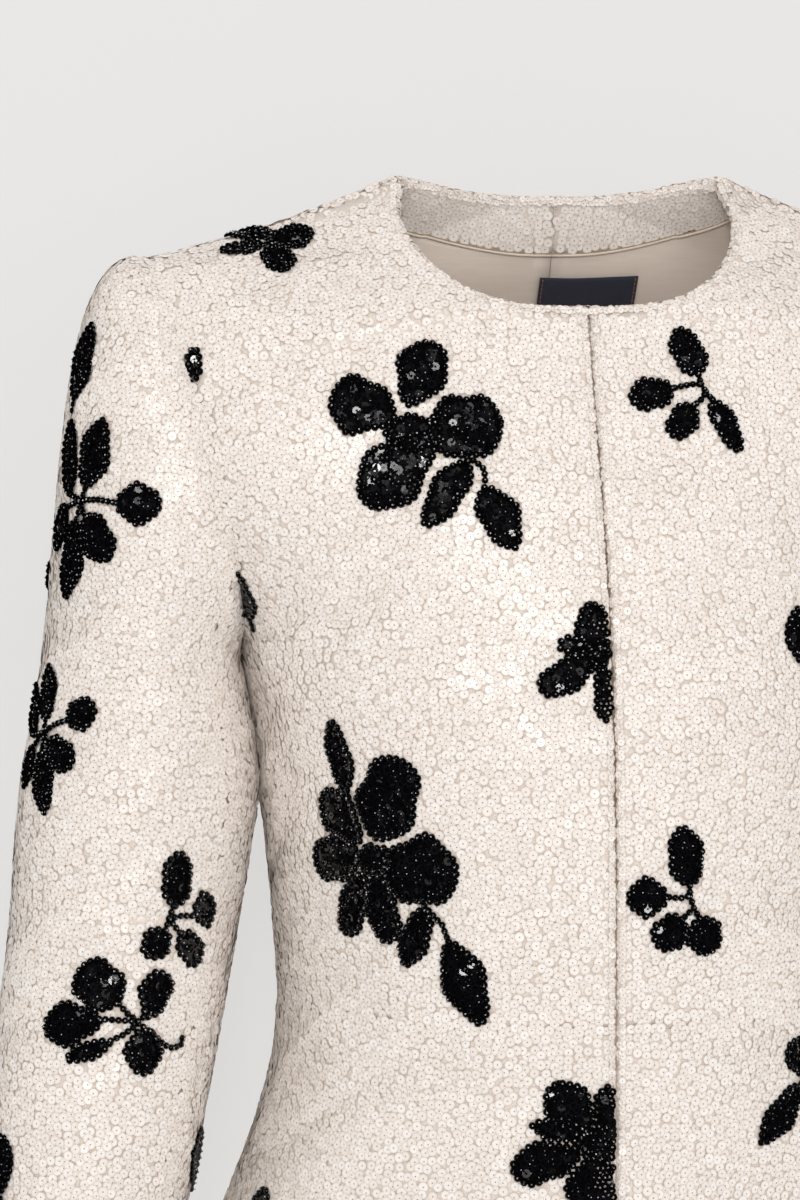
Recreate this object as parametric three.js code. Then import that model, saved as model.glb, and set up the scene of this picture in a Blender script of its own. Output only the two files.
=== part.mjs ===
import * as THREE from 'three';

// A collarless jacket with set-in sleeves and a flared peplum, filled out as if it were worn.
// Sizes are millimetres. +X is the wearer's left, +Y the back and +Z up. The origin lies midway
// between the two points where the shoulder line meets the neck edge.

// Cloth
const clothThickness = 2.4;
const liningThickness = 1.2;
const labelThickness = 1.0;
const seamGap = 0.3; // between pieces that are sewn together, and between layers
const frontGap = 1.0; // between the two front edges

// Neck edge
const neck = {
  halfWidth: 88,
  frontDepth: 72,
  frontDrop: 66,
  frontRound: 0.68, // the lower, the squarer the neck edge is from above
  frontFall: 0.9, // the lower, the steeper it falls from the shoulder
  backDepth: 20,
  backDrop: 12,
  backRound: 0.75,
  backFall: 3.5,
};

// Armhole, an egg-shaped loop from the shoulder tip to the armpit
const armhole = {
  topX: 207,
  topZ: -43,
  bottomX: 162,
  bottomY: -2,
  bottomZ: -230,
  front: 60,
  back: 58,
  lowBulge: 0.22, // how much fuller the lower half is
  backOut: 6, // how far the back edge stands out beyond the front edge
  sideCurve: 1.1, // over 1 draws the lower part in
};

// Levels
const waistZ = -408;
const hemZ = -598;

// Where a body row leaves the neck edge for the centre line, and the armhole for the side seam,
// counted from the shoulder line at 0 to the waist at 1
const neckRow = 0.2;
const armpitRow = 0.55;

const centreFront = [
  { z: waistZ, y: -146 },
  { z: -330, y: -144 },
  { z: -261, y: -138 },
  { z: -190, y: -121 },
  { z: -120, y: -94 },
  { z: -neck.frontDrop, y: -neck.frontDepth },
];
const centreBack = [
  { z: waistZ, y: 77 },
  { z: -330, y: 80 },
  { z: -250, y: 88 },
  { z: -160, y: 88 },
  { z: -100, y: 66 },
  { z: -65, y: 42 },
  { z: -40, y: 26 },
  { z: -neck.backDrop, y: neck.backDepth },
];
const sideSeam = [
  { z: waistZ, x: 144, y: -16 },
  { z: -355, x: 147.5, y: -13 },
  { z: -306, x: 152, y: -9 },
  { z: -262, x: 156, y: -5 },
  { z: armhole.bottomZ, x: armhole.bottomX, y: armhole.bottomY },
];

// How each body row leaves the centre or neck edge and meets the armhole or side seam.
// Rows run from the front waist at -1 over the shoulder at 0 to the back waist at 1.
const bodyRows = [
  { row: -1, leaveX: 84, leaveZ: 0, meetX: 0, meetY: -74, meetZ: 0 },
  { row: -0.75, leaveX: 98, leaveZ: 0, meetX: 0, meetY: -84, meetZ: 0 },
  { row: -0.55, leaveX: 110, leaveZ: 0, meetX: 4, meetY: -78, meetZ: 0 },
  { row: -0.47, leaveX: 98, leaveZ: 0, meetX: -11, meetY: -45, meetZ: 0 },
  { row: -0.38, leaveX: 90, leaveZ: 0, meetX: -26, meetY: -32, meetZ: 2 },
  { row: -0.2, leaveX: 74, leaveZ: 0, meetX: -40, meetY: -24, meetZ: 6 },
  { row: -0.08, leaveX: 54, leaveZ: -15, meetX: -44, meetY: -10, meetZ: 9 },
  { row: 0, leaveX: 40, leaveZ: -23, meetX: -42, meetY: 0, meetZ: 10 },
  { row: 0.08, leaveX: 54, leaveZ: -17, meetX: -44, meetY: 12, meetZ: 9 },
  { row: 0.2, leaveX: 76, leaveZ: -4, meetX: -36, meetY: 26, meetZ: 8 },
  { row: 0.38, leaveX: 92, leaveZ: 0, meetX: -20, meetY: 30, meetZ: 2 },
  { row: 0.47, leaveX: 97, leaveZ: 0, meetX: -9, meetY: 38, meetZ: 0 },
  { row: 0.55, leaveX: 102, leaveZ: 0, meetX: 2, meetY: 58, meetZ: 0 },
  { row: 0.75, leaveX: 90, leaveZ: 0, meetX: 0, meetY: 58, meetZ: 0 },
  { row: 1, leaveX: 82, leaveZ: 0, meetX: 0, meetY: 54, meetZ: 0 },
];

// Peplum sections, from the waist to the hem
const peplumSections = [
  { z: hemZ, halfWidth: 196, front: -154, back: 136, sideY: -10 },
  { z: -545, halfWidth: 179, front: -149, back: 118, sideY: -12 },
  { z: -511, halfWidth: 168, front: -147, back: 106, sideY: -13 },
  { z: -475, halfWidth: 155.5, front: -146, back: 94, sideY: -14 },
  { z: -438, halfWidth: 146.5, front: -146, back: 83, sideY: -15 },
  { z: waistZ, halfWidth: 144, front: -146, back: 77, sideY: -16 },
];
const flutes = { perSide: 4, depth: 6, growth: 1.4, plainFront: 0.3 };

// Sleeve rings below the armpit. lean is how far the ring's plane follows the bent arm.
const sleeveRings = [
  { z: -600, x: 257, y: -52, width: 42, depth: 45, lean: 0.3 },
  { z: -560, x: 252, y: -45, width: 46, depth: 49, lean: 0.26 },
  { z: -511, x: 245, y: -35, width: 51, depth: 54, lean: 0.2 },
  { z: -451, x: 235, y: -24, width: 54, depth: 58, lean: 0.12 },
  { z: -376, x: 222, y: -12, width: 56, depth: 61, lean: 0.05 },
  { z: -306, x: 213.5, y: -5, width: 58, depth: 63, lean: 0 },
  { z: -245, x: 212, y: -2, width: 48.5, depth: 62, lean: 0 },
];
const bicepZ = -245;
const cuffZ = -600;
// How the sleeve head stands off the armhole before it falls to the arm
const sleeveHead = { out: 22, topOut: 20, side: 12, up: 10, fall: 0.5, spread: 0.12 };

// Facing, lining and label inside the back
const facingDepth = 27;
const label = { width: 50, height: 24, centreX: 20, belowFacing: 11, clearance: 0.8 };

// Cells of each piece
const cells = {
  front: { across: 10, neckRows: 6, armholeRows: 5, sideRows: 5 },
  back: { across: 9, neckRows: 8, armholeRows: 4, sideRows: 5 },
  facing: 2,
  peplum: { across: 14, down: 6 },
  sleeve: { head: 7, arm: 8, underFront: 2, underBack: 2 },
  label: { across: 8, down: 3 },
};
const headEase = 1.3; // crowds the sleeve's first rows towards the top
const shoulderInset = { front: 0.0006, back: 0.0012 }; // of a body row, at the shoulder line

const finishes = {
  sequins: { color: 0xe6ddcf, roughness: 0.55, metalness: 0 },
  satin: { color: 0xcbbda8, roughness: 0.4, metalness: 0 },
  label: { color: 0x1d2233, roughness: 0.7, metalness: 0 },
};

// Reads a column of a table as a smooth curve through its rows. The key column rises or falls.
function readTable(table, key, at, column) {
  const rows = table[0][key] < table[table.length - 1][key] ? table : [...table].reverse();
  const last = rows.length - 1;
  let high = rows.findIndex((row) => row[key] > at);
  high = high < 0 ? last : Math.max(high, 1);
  const slope = (i) => {
    const before = rows[Math.max(i - 1, 0)];
    const after = rows[Math.min(i + 1, last)];
    return (after[column] - before[column]) / (after[key] - before[key]);
  };
  const low = rows[high - 1];
  const span = rows[high][key] - low[key];
  const t = (at - low[key]) / span;
  const rise = rows[high][column] - low[column];
  const start = slope(high - 1) * span;
  const end = slope(high) * span;
  return low[column] + t * (start + t * (3 * rise - 2 * start - end + t * (start + end - 2 * rise)));
}

const point = (x, y, z) => new THREE.Vector3(x, y, z);
const nudge = 0.01; // of a parameter's range, to find the direction of a curve

// The neck edge from the shoulder line at 0 to the centre front at -1 or the centre back at 1
function neckEdge(place) {
  const turn = (Math.PI / 2) * (1 - Math.abs(place));
  const [round, fall] = place < 0 ? [neck.frontRound, neck.frontFall] : [neck.backRound, neck.backFall];
  const [depth, drop] = place < 0 ? [-neck.frontDepth, neck.frontDrop] : [neck.backDepth, neck.backDrop];
  const middle = Math.cos(turn);
  return point(neck.halfWidth * Math.sin(turn) ** round, depth * middle, -drop * middle ** fall);
}

// The armhole by the turn from its top, below 0 in front and above 0 at the back
function armholeEdge(turn) {
  const height = (1 + Math.cos(turn)) / 2;
  const z = armhole.bottomZ + (armhole.topZ - armhole.bottomZ) * height;
  const reach = turn < 0 ? armhole.front : armhole.back;
  const y = reach * Math.sin(turn) * (1 + armhole.lowBulge * (1 - 2 * height));
  const out = turn > 0 ? armhole.backOut * Math.sin(turn) ** 2 : 0;
  const x = armhole.bottomX + (armhole.topX - armhole.bottomX) * height ** armhole.sideCurve + out;
  return point(x, y + armhole.bottomY * (1 - height), z);
}

function centreEdge(row) {
  const away = Math.abs(row);
  if (away <= neckRow) return neckEdge(row / neckRow);
  const top = row < 0 ? -neck.frontDrop : -neck.backDrop;
  const z = top + ((waistZ - top) * (away - neckRow)) / (1 - neckRow);
  return point(0, readTable(row < 0 ? centreFront : centreBack, 'z', z, 'y'), z);
}

function armEdge(row) {
  const away = Math.abs(row);
  if (away <= armpitRow) return armholeEdge((Math.PI * row) / armpitRow);
  const z = armhole.bottomZ + ((waistZ - armhole.bottomZ) * (away - armpitRow)) / (1 - armpitRow);
  return point(readTable(sideSeam, 'z', z, 'x'), readTable(sideSeam, 'z', z, 'y'), z);
}

// A cubic curve that leaves its start and meets its end along the two given arms
function cubic(start, leave, meet, end, t) {
  const s = 1 - t;
  return point(0, 0, 0)
    .addScaledVector(start, s * s * s)
    .addScaledVector(start.clone().add(leave), 3 * s * s * t)
    .addScaledVector(end.clone().add(meet), 3 * s * t * t)
    .addScaledVector(end, t * t * t);
}

// The body's left half. across runs from the centre or neck edge at 0 to the arm or side at 1.
function bodyPoint(across, row) {
  const read = (column) => readTable(bodyRows, 'row', row, column);
  const leave = point(read('leaveX'), 0, read('leaveZ'));
  const meet = point(read('meetX'), read('meetY'), read('meetZ'));
  return cubic(centreEdge(row), leave, meet, armEdge(row), across);
}

// The peplum's left half. down runs from the waist at 0 to the hem at 1, and way is -1 in front.
function peplumPoint(across, down, way) {
  const z = waistZ + (hemZ - waistZ) * down;
  const read = (column) => readTable(peplumSections, 'z', z, column);
  const waist = peplumSections[peplumSections.length - 1];
  const row = bodyRows[way < 0 ? 0 : bodyRows.length - 1];
  const column = way < 0 ? 'front' : 'back';
  const widen = read('halfWidth') / waist.halfWidth;
  const deepen = (read(column) - read('sideY')) / (waist[column] - waist.sideY);
  const start = point(0, read(column), z);
  const end = point(read('halfWidth'), read('sideY'), z);
  const leave = point(row.leaveX * widen, 0, 0);
  const meet = point(0, row.meetY * deepen, 0);
  const place = cubic(start, leave, meet, end, across);
  // The flutes stand out square to the section, and fade out towards the front edges.
  const ahead = cubic(start, leave, meet, end, Math.min(across + nudge, 1));
  const behind = cubic(start, leave, meet, end, Math.max(across - nudge, 0));
  const along = ahead.sub(behind).normalize();
  const out = way < 0 ? point(along.y, -along.x, 0) : point(-along.y, along.x, 0);
  const around = way < 0 ? across : 2 - across;
  const fade = THREE.MathUtils.smoothstep(around, 0, flutes.plainFront);
  const wave = Math.cos(Math.PI * flutes.perSide * around) * fade;
  return place.addScaledVector(out, flutes.depth * down ** flutes.growth * wave);
}

function sleeveRing(turn, z) {
  const read = (column) => readTable(sleeveRings, 'z', z, column);
  const y = read('depth') * Math.sin(turn);
  return point(read('x') + read('width') * Math.cos(turn), read('y') + y, z - read('lean') * y);
}

// The left sleeve. turn is counted from its top as on the armhole, and down runs from the armhole
// at 0 past the armpit level at 1 to the cuff at 2.
function sleevePoint(turn, down) {
  if (down >= 1) return sleeveRing(turn, bicepZ + (cuffZ - bicepZ) * (down - 1));
  const top = armholeEdge(turn);
  const arm = sleeveRing(turn, bicepZ);
  const upper = Math.cos(turn);
  const head = sleeveHead;
  const leave = point(head.out + head.topOut * upper, head.side * Math.sin(turn), head.up * upper);
  const fall = head.fall * (top.z - arm.z);
  const meet = point(-head.spread * fall * upper, 0, fall);
  return cubic(top, leave, meet, arm, down);
}

// The outward direction of a surface at two parameters, by small steps that stay inside its range
function outward(surface, a, b, range) {
  const step = 0.002;
  const between = (value, [low, high]) => [Math.max(value - step, low), Math.min(value + step, high)];
  const [a0, a1] = between(a, range[0]);
  const [b0, b1] = between(b, range[1]);
  const alongA = surface(a1, b).sub(surface(a0, b));
  const alongB = surface(a, b1).sub(surface(a, b0));
  return alongA.cross(alongB).normalize();
}

// Points of a surface over lists of its two parameters, with the outward direction at each
function gridOf(surface, listA, listB, range) {
  return listB.map((b) =>
    listA.map((a) => ({ at: surface(a, b), out: outward(surface, a, b, range) })),
  );
}

function steps(from, to, count) {
  return Array.from({ length: count + 1 }, (_, i) => from + ((to - from) * i) / count);
}

// Draws the edges of a grid in along its surface, so that it stops short of its neighbours
function drawIn(grid, { first = 0, last = 0, start = 0, end = 0 }) {
  const rows = grid.length - 1;
  const columns = grid[0].length - 1;
  const move = (from, towards, by) => {
    const way = towards.at.clone().sub(from.at).setLength(by);
    from.at.add(way);
  };
  for (let j = 0; j <= rows; j += 1) {
    if (start) move(grid[j][0], grid[j][1], start);
    if (end) move(grid[j][columns], grid[j][columns - 1], end);
  }
  for (let i = 0; i <= columns; i += 1) {
    if (first) move(grid[0][i], grid[1][i], first);
    if (last) move(grid[rows][i], grid[rows - 1][i], last);
  }
  return grid;
}

// A closed wall between two depths under one grid or several that share an edge, point for point.
// side mirrors it to the wearer's right at -1.
function wallOf(grids, outerDepth, innerDepth, side) {
  const places = [];
  const known = new Map();
  const numberOf = (place) => {
    const key = place.at.toArray().map((value) => value.toFixed(3)).join();
    if (!known.has(key)) known.set(key, places.push(place) - 1);
    return known.get(key);
  };
  const quads = [];
  for (const grid of grids) {
    const numbers = grid.map((line) => line.map(numberOf));
    for (let j = 0; j < numbers.length - 1; j += 1) {
      for (let i = 0; i < numbers[j].length - 1; i += 1) {
        quads.push([numbers[j][i], numbers[j][i + 1], numbers[j + 1][i + 1], numbers[j + 1][i]]);
      }
    }
  }
  const positions = [];
  for (const depth of [outerDepth, innerDepth]) {
    for (const { at, out } of places) {
      const place = at.clone().addScaledVector(out, -depth);
      positions.push(place.x * side, place.y, place.z);
    }
  }
  const index = [];
  const addQuad = (a, b, c, d) => {
    index.push(...(side > 0 ? [a, b, c, a, c, d] : [a, c, b, a, d, c]));
  };
  const used = new Set();
  for (const quad of quads) quad.forEach((from, k) => used.add(`${from} ${quad[(k + 1) % 4]}`));
  const below = places.length;
  for (const quad of quads) {
    const [a, b, c, d] = quad;
    addQuad(a, b, c, d);
    addQuad(a + below, d + below, c + below, b + below);
    // An edge that no other cell runs along the other way is on the rim.
    quad.forEach((from, k) => {
      const to = quad[(k + 1) % 4];
      if (!used.has(`${to} ${from}`)) addQuad(from, from + below, to + below, to);
    });
  }
  const geometry = new THREE.BufferGeometry();
  geometry.setAttribute('position', new THREE.Float32BufferAttribute(positions, 3));
  geometry.setIndex(index);
  geometry.computeVertexNormals();
  return geometry;
}

const group = new THREE.Group();

function addPiece(name, geometry, finish) {
  const mesh = new THREE.Mesh(geometry, new THREE.MeshStandardMaterial(finish));
  mesh.name = name;
  group.add(mesh);
}

const half = seamGap / 2;
const sides = [
  { name: 'right', side: -1 },
  { name: 'left', side: 1 },
];

const wholeBody = [
  [0, 1],
  [-1, 1],
];
// Both sides of the shoulder seam share the direction at the shoulder line.
const onBody = ([across, row]) => {
  const level = Math.abs(row) <= shoulderInset.back ? 0 : row;
  return { at: bodyPoint(across, row), out: outward(bodyPoint, across, level, wholeBody) };
};

const roughWidth = 200; // of the half back, for first guesses

// The place on the left back nearest to a point, by repeated least squares from a first guess
function nearestOnBack(target, guess) {
  const step = 0.001;
  const easing = 0.7;
  const rounds = 40;
  let [across, row] = guess;
  for (let round = 0; round < rounds; round += 1) {
    const here = bodyPoint(across, row);
    const alongA = bodyPoint(across + step, row).sub(here).divideScalar(step);
    const alongB = bodyPoint(across, row + step).sub(here).divideScalar(step);
    const miss = target.clone().sub(here);
    const [aa, bb, ab] = [alongA.dot(alongA), alongB.dot(alongB), alongA.dot(alongB)];
    const [am, bm] = [alongA.dot(miss), alongB.dot(miss)];
    const spread = (aa * bb - ab * ab) / easing;
    across = THREE.MathUtils.clamp(across + (am * bb - bm * ab) / spread, 0, 1);
    row = THREE.MathUtils.clamp(row + (bm * aa - am * ab) / spread, shoulderInset.back, 1 - step);
  }
  return [across, row];
}

// A place on the back at a depth below the neck edge, from the shoulder line at 0 to the centre at 1
function belowNeck(place, depth) {
  const from = neckEdge(place);
  const before = neckEdge(Math.max(place - nudge, shoulderInset.back));
  const along = neckEdge(Math.min(place + nudge, 1)).sub(before);
  const away = along.cross(onBody([nudge, neckRow * place]).out).normalize();
  const target = from.addScaledVector(away, depth);
  const [across, row] = nearestOnBack(target, [depth / roughWidth, neckRow * place]);
  if (place === 0) return [across, shoulderInset.back];
  return [place === 1 ? 0 : across, row];
}

// The back's lines: those of the facing run in from the neck edge, and those of the lining carry on
// from there to the arm, and then fill the back down to the waist.
const facingLines = steps(0, 1, cells.back.neckRows).map((place) =>
  steps(0, facingDepth, cells.facing).map((depth) => belowNeck(place, depth)),
);
const facingEnds = facingLines.map((line) => line[line.length - 1]);
const facingLow = facingEnds[facingEnds.length - 1][1];
const backRows = [
  ...steps(facingLow, armpitRow, cells.back.armholeRows).slice(1),
  ...steps(armpitRow, 1, cells.back.sideRows).slice(1),
];
const liningLines = [...facingEnds, ...backRows.map((row) => [0, row])].map(([start, row]) =>
  steps(start, 1, cells.back.across).map((across) => [across, row]),
);
const frontRows = [
  ...steps(shoulderInset.front, neckRow, cells.front.neckRows),
  ...steps(neckRow, armpitRow, cells.front.armholeRows).slice(1),
  ...steps(armpitRow, 1, cells.front.sideRows).slice(1),
].map((row) => -row);

const gridOn = (lines) => lines.map((line) => line.map(onBody));
const keepFromMiddle = (grid, gap) => {
  for (const line of grid) {
    for (const { at } of line) at.x = Math.max(at.x, gap);
  }
};

function addBody({ name, side }) {
  const columns = steps(0, 1, cells.front.across);
  const front = gridOn([...frontRows].reverse().map((row) => columns.map((across) => [across, row])));
  drawIn(front, { first: half, end: half });
  keepFromMiddle(front, frontGap / 2);
  addPiece(`front_${name}`, wallOf([front], 0, clothThickness, side), finishes.sequins);
  const yoke = gridOn(facingLines);
  const back = gridOn(liningLines);
  drawIn(back, { last: half, end: half });
  keepFromMiddle(yoke, half);
  keepFromMiddle(back, half);
  addPiece(`back_${name}`, wallOf([yoke, back], 0, clothThickness, side), finishes.sequins);
}

function addPeplum({ name, side }) {
  const whole = [
    [0, 1],
    [0, 1],
  ];
  const columns = steps(0, 1, cells.peplum.across);
  // Rows run upwards in front and downwards at the back, so that both grids face out.
  const front = gridOf((a, b) => peplumPoint(a, b, -1), columns, steps(1, 0, cells.peplum.down), whole);
  const back = gridOf((a, b) => peplumPoint(a, b, 1), columns, steps(0, 1, cells.peplum.down), whole);
  for (const line of front) {
    for (const place of line) place.out.negate();
  }
  drawIn(front, { last: half, start: frontGap / 2, end: half });
  drawIn(back, { first: half, start: half, end: half });
  addPiece(`peplum_front_${name}`, wallOf([front], 0, clothThickness, side), finishes.sequins);
  addPiece(`peplum_back_${name}`, wallOf([back], 0, clothThickness, side), finishes.sequins);
}

// The sleeve's columns meet the ends of the body's rows, and its two seams lie near the underarm.
function sleeveTurns() {
  const turnOf = (row) => (Math.PI * row) / armpitRow;
  const { underFront, underBack } = cells.sleeve;
  const frontCount = cells.front.neckRows + cells.front.armholeRows + 1;
  const backLines = liningLines.slice(1, cells.back.neckRows + cells.back.armholeRows + 1);
  const front = [0, ...frontRows.slice(1, frontCount).map(turnOf)];
  const back = [0, ...backLines.map(([[, row]]) => turnOf(row))];
  const frontSeam = front.length - 1 - underFront;
  const backSeam = back.length - 1 - underBack;
  const upper = [...back.slice(0, backSeam + 1).reverse(), ...front.slice(1, frontSeam + 1)];
  const underarm = front.slice(frontSeam).map((turn) => turn + 2 * Math.PI);
  return { upper, under: [...underarm, ...back.slice(backSeam, -1).reverse()] };
}

function addSleeve({ name, side }) {
  const { head, arm } = cells.sleeve;
  const rows = [...steps(0, 1, head).map((row) => row ** headEase), ...steps(1, 2, arm).slice(1)];
  const whole = [
    [-Math.PI, 2 * Math.PI],
    [0, 2],
  ];
  // Turns past the bottom of the armhole are read on the front half.
  const surface = (a, b) => sleevePoint(a > Math.PI ? a - 2 * Math.PI : a, b);
  for (const [part, turns] of Object.entries(sleeveTurns())) {
    const grid = gridOf(surface, turns, rows, whole);
    for (const line of grid) {
      for (const place of line) place.out.negate();
    }
    drawIn(grid, { first: half, start: half, end: half });
    addPiece(`sleeve_${name}_${part}`, wallOf([grid], 0, clothThickness, side), finishes.sequins);
  }
}

const insideDepth = clothThickness + seamGap;

function addFacing({ name, side }) {
  const grid = drawIn(gridOn(facingLines), { end: half });
  keepFromMiddle(grid, half);
  const wall = wallOf([grid], insideDepth, insideDepth + clothThickness, side);
  addPiece(`neck_facing_${name}`, wall, finishes.sequins);
}

function addLining({ name, side }) {
  const grid = drawIn(gridOn(liningLines), { last: half, start: half, end: half });
  const wall = wallOf([grid], insideDepth, insideDepth + liningThickness, side);
  addPiece(`lining_back_${name}`, wall, finishes.satin);
}

// The label lies over the middle of the lining, a little to the wearer's left.
function addLabel() {
  const top = facingDepth + label.belowFacing;
  const grid = steps(top, top + label.height, cells.label.down).map((depth) => {
    const [, row] = belowNeck(1, depth);
    const middle = centreEdge(row);
    return steps(-label.width / 2, label.width / 2, cells.label.across).map((offset) => {
      const x = label.centreX + offset;
      const target = point(Math.abs(x), middle.y, middle.z);
      const { at, out } = onBody(nearestOnBack(target, [Math.abs(x) / roughWidth, row]));
      at.x *= Math.sign(x);
      out.x *= Math.sign(x);
      return { at, out };
    });
  });
  const from = insideDepth + liningThickness + label.clearance;
  addPiece('label', wallOf([grid], from, from + labelThickness, 1), finishes.label);
}

sides.forEach(addBody);
sides.forEach(addPeplum);
sides.forEach(addSleeve);
sides.forEach(addFacing);
sides.forEach(addLining);
addLabel();

export default group;
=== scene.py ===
import math

import bpy
import numpy as np
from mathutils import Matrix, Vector
from mathutils.kdtree import KDTree


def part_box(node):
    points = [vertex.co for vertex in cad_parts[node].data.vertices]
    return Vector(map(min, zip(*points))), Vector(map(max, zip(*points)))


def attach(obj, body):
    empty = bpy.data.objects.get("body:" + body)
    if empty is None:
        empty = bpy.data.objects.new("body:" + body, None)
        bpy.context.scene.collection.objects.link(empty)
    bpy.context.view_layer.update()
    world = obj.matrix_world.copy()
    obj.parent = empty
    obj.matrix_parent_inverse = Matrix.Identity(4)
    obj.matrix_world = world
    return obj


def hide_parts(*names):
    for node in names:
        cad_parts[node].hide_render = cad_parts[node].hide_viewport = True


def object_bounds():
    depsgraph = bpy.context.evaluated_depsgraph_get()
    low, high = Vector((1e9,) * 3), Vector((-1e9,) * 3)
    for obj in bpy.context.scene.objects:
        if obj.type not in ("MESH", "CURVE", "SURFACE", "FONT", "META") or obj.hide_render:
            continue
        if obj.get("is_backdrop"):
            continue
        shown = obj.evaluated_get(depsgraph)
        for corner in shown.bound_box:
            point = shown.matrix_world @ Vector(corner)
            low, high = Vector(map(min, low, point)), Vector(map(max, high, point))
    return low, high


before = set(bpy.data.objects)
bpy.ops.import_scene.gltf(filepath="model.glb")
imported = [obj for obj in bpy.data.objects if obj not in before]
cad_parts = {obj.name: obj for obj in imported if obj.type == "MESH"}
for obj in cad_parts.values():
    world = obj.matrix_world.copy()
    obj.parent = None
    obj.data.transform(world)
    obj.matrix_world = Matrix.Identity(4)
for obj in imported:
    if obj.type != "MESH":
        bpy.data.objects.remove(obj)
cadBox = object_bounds()
print("frame loaded,", len(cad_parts), "nodes")

mm = 0.001
dice = np.random.default_rng(23)
scene = bpy.context.scene
root = bpy.data.collections.new("jacket")
scene.collection.children.link(root)


# Nodes, colours and materials

def linear(hexColour):
    parts = [int(hexColour[i:i + 2], 16) / 255 for i in (1, 3, 5)]
    return [p / 12.92 if p <= 0.04045 else ((p + 0.055) / 1.055) ** 2.4 for p in parts] + [1]


def addNode(tree, kind, settings=None, links=None):
    node = tree.nodes.new(kind)
    for name, value in (settings or {}).items():
        if isinstance(name, int) or name in node.inputs:
            node.inputs[name].default_value = value
        else:
            setattr(node, name, value)
    for name, source in (links or {}).items():
        tree.links.new(source, node.inputs[name])
    return node


def blend(low, high):
    # a mix node's settings for two colours
    return {"data_type": "RGBA", 6: linear(low), 7: linear(high)}


def newMaterial(name, settings):
    material = bpy.data.materials.new(name)
    material.use_nodes = True
    shader = material.node_tree.nodes["Principled BSDF"]
    for key, value in settings.items():
        shader.inputs[key].default_value = value
    return material, material.node_tree, shader


def cover(tree, shader, colour, bump=None):
    tree.links.new(colour.outputs[2], shader.inputs["Base Color"])
    if bump:
        tree.links.new(bump.outputs[0], shader.inputs["Normal"])


discAtlas = {"across": 8, "fill": 0.46}  # disc faces per side of the map, and a disc's radius in its cell


def discPlace(tree):
    # where a point lies on its own sequin: 0 at the middle, 1 at the rim, and which sequin of the map it is
    mapNode = addNode(tree, "ShaderNodeUVMap", {"uv_map": "discMap"})
    cells = addNode(tree, "ShaderNodeVectorMath", {"operation": "SCALE", "Scale": discAtlas["across"]},
                    {0: mapNode.outputs["UV"]})
    inCell = addNode(tree, "ShaderNodeVectorMath", {"operation": "FRACTION"}, {0: cells.outputs[0]})
    centred = addNode(tree, "ShaderNodeVectorMath", {"operation": "SUBTRACT", 1: (0.5, 0.5, 0)},
                      {0: inCell.outputs[0]})
    length = addNode(tree, "ShaderNodeVectorMath", {"operation": "LENGTH"}, {0: centred.outputs[0]})
    radius = addNode(tree, "ShaderNodeMath", {"operation": "DIVIDE", 1: discAtlas["fill"]},
                     {0: length.outputs["Value"]})
    cell = addNode(tree, "ShaderNodeVectorMath", {"operation": "FLOOR"}, {0: cells.outputs[0]})
    toss = addNode(tree, "ShaderNodeTexWhiteNoise", {"noise_dimensions": "2D"}, {"Vector": cell.outputs[0]})
    return radius.outputs[0], toss.outputs["Value"]


# Pearl-coated polyester sequins, punched from film and pressed into shallow cups: a satin
# gloss, a stitch hole at the middle painted as a tan dot, its thread darkened by painted shade,
# and a rim painted darker, painted shade where the discs lap.
pearlSequin = {"bright": "#FCF8F4", "warm": "#F4ECE5", "hole": "#A08A7A", "rim": "#DCCDBF",
               "holeSize": 0.12, "rimShadeStart": 0.7, "cup": 0.3}


def pearlSequinMaterial():
    material, tree, shader = newMaterial("pearlSequin", {
        "Roughness": 0.34, "IOR": 1.57, "Coat Weight": 0.15, "Coat Roughness": 0.22})
    radius, toss = discPlace(tree)
    tone = addNode(tree, "ShaderNodeMix", blend(pearlSequin["bright"], pearlSequin["warm"]), {0: toss})
    # painted shade: each disc darkens towards its rim, for the shade where the discs lap
    rim = addNode(tree, "ShaderNodeMapRange", {
        "interpolation_type": "SMOOTHSTEP", "From Min": pearlSequin["rimShadeStart"], "From Max": 1.0},
        {"Value": radius})
    rimShaded = addNode(tree, "ShaderNodeMix", {"data_type": "RGBA", 7: linear(pearlSequin["rim"])},
                     {0: rim.outputs[0], 6: tone.outputs[2]})
    # painted shade: a dark tan dot at the middle stands for the stitch hole, its thread and the shade
    # inside it
    hole = addNode(tree, "ShaderNodeMapRange", {
        "interpolation_type": "SMOOTHSTEP", "From Min": pearlSequin["holeSize"] * 1.5,
        "From Max": pearlSequin["holeSize"] * 0.7}, {"Value": radius})
    colour = addNode(tree, "ShaderNodeMix", {"data_type": "RGBA", 7: linear(pearlSequin["hole"])},
                     {0: hole.outputs[0], 6: rimShaded.outputs[2]})
    cup = addNode(tree, "ShaderNodeMath", {"operation": "POWER", 1: 2.5}, {0: radius})
    bump = addNode(tree, "ShaderNodeBump", {"Strength": pearlSequin["cup"], "Distance": 0.3 * mm},
                   {"Height": cup.outputs[0]})
    cover(tree, shader, colour, bump)
    return material


# Jet black polyester sequins: hard gloss, so that the few that face the light flash white. On discs
# picked at random the rim is painted a little lighter, a painted sheen.
jetSequin = {"face": "#060608", "rim": "#16161B", "hole": "#020202", "holeSize": 0.2}


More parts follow.
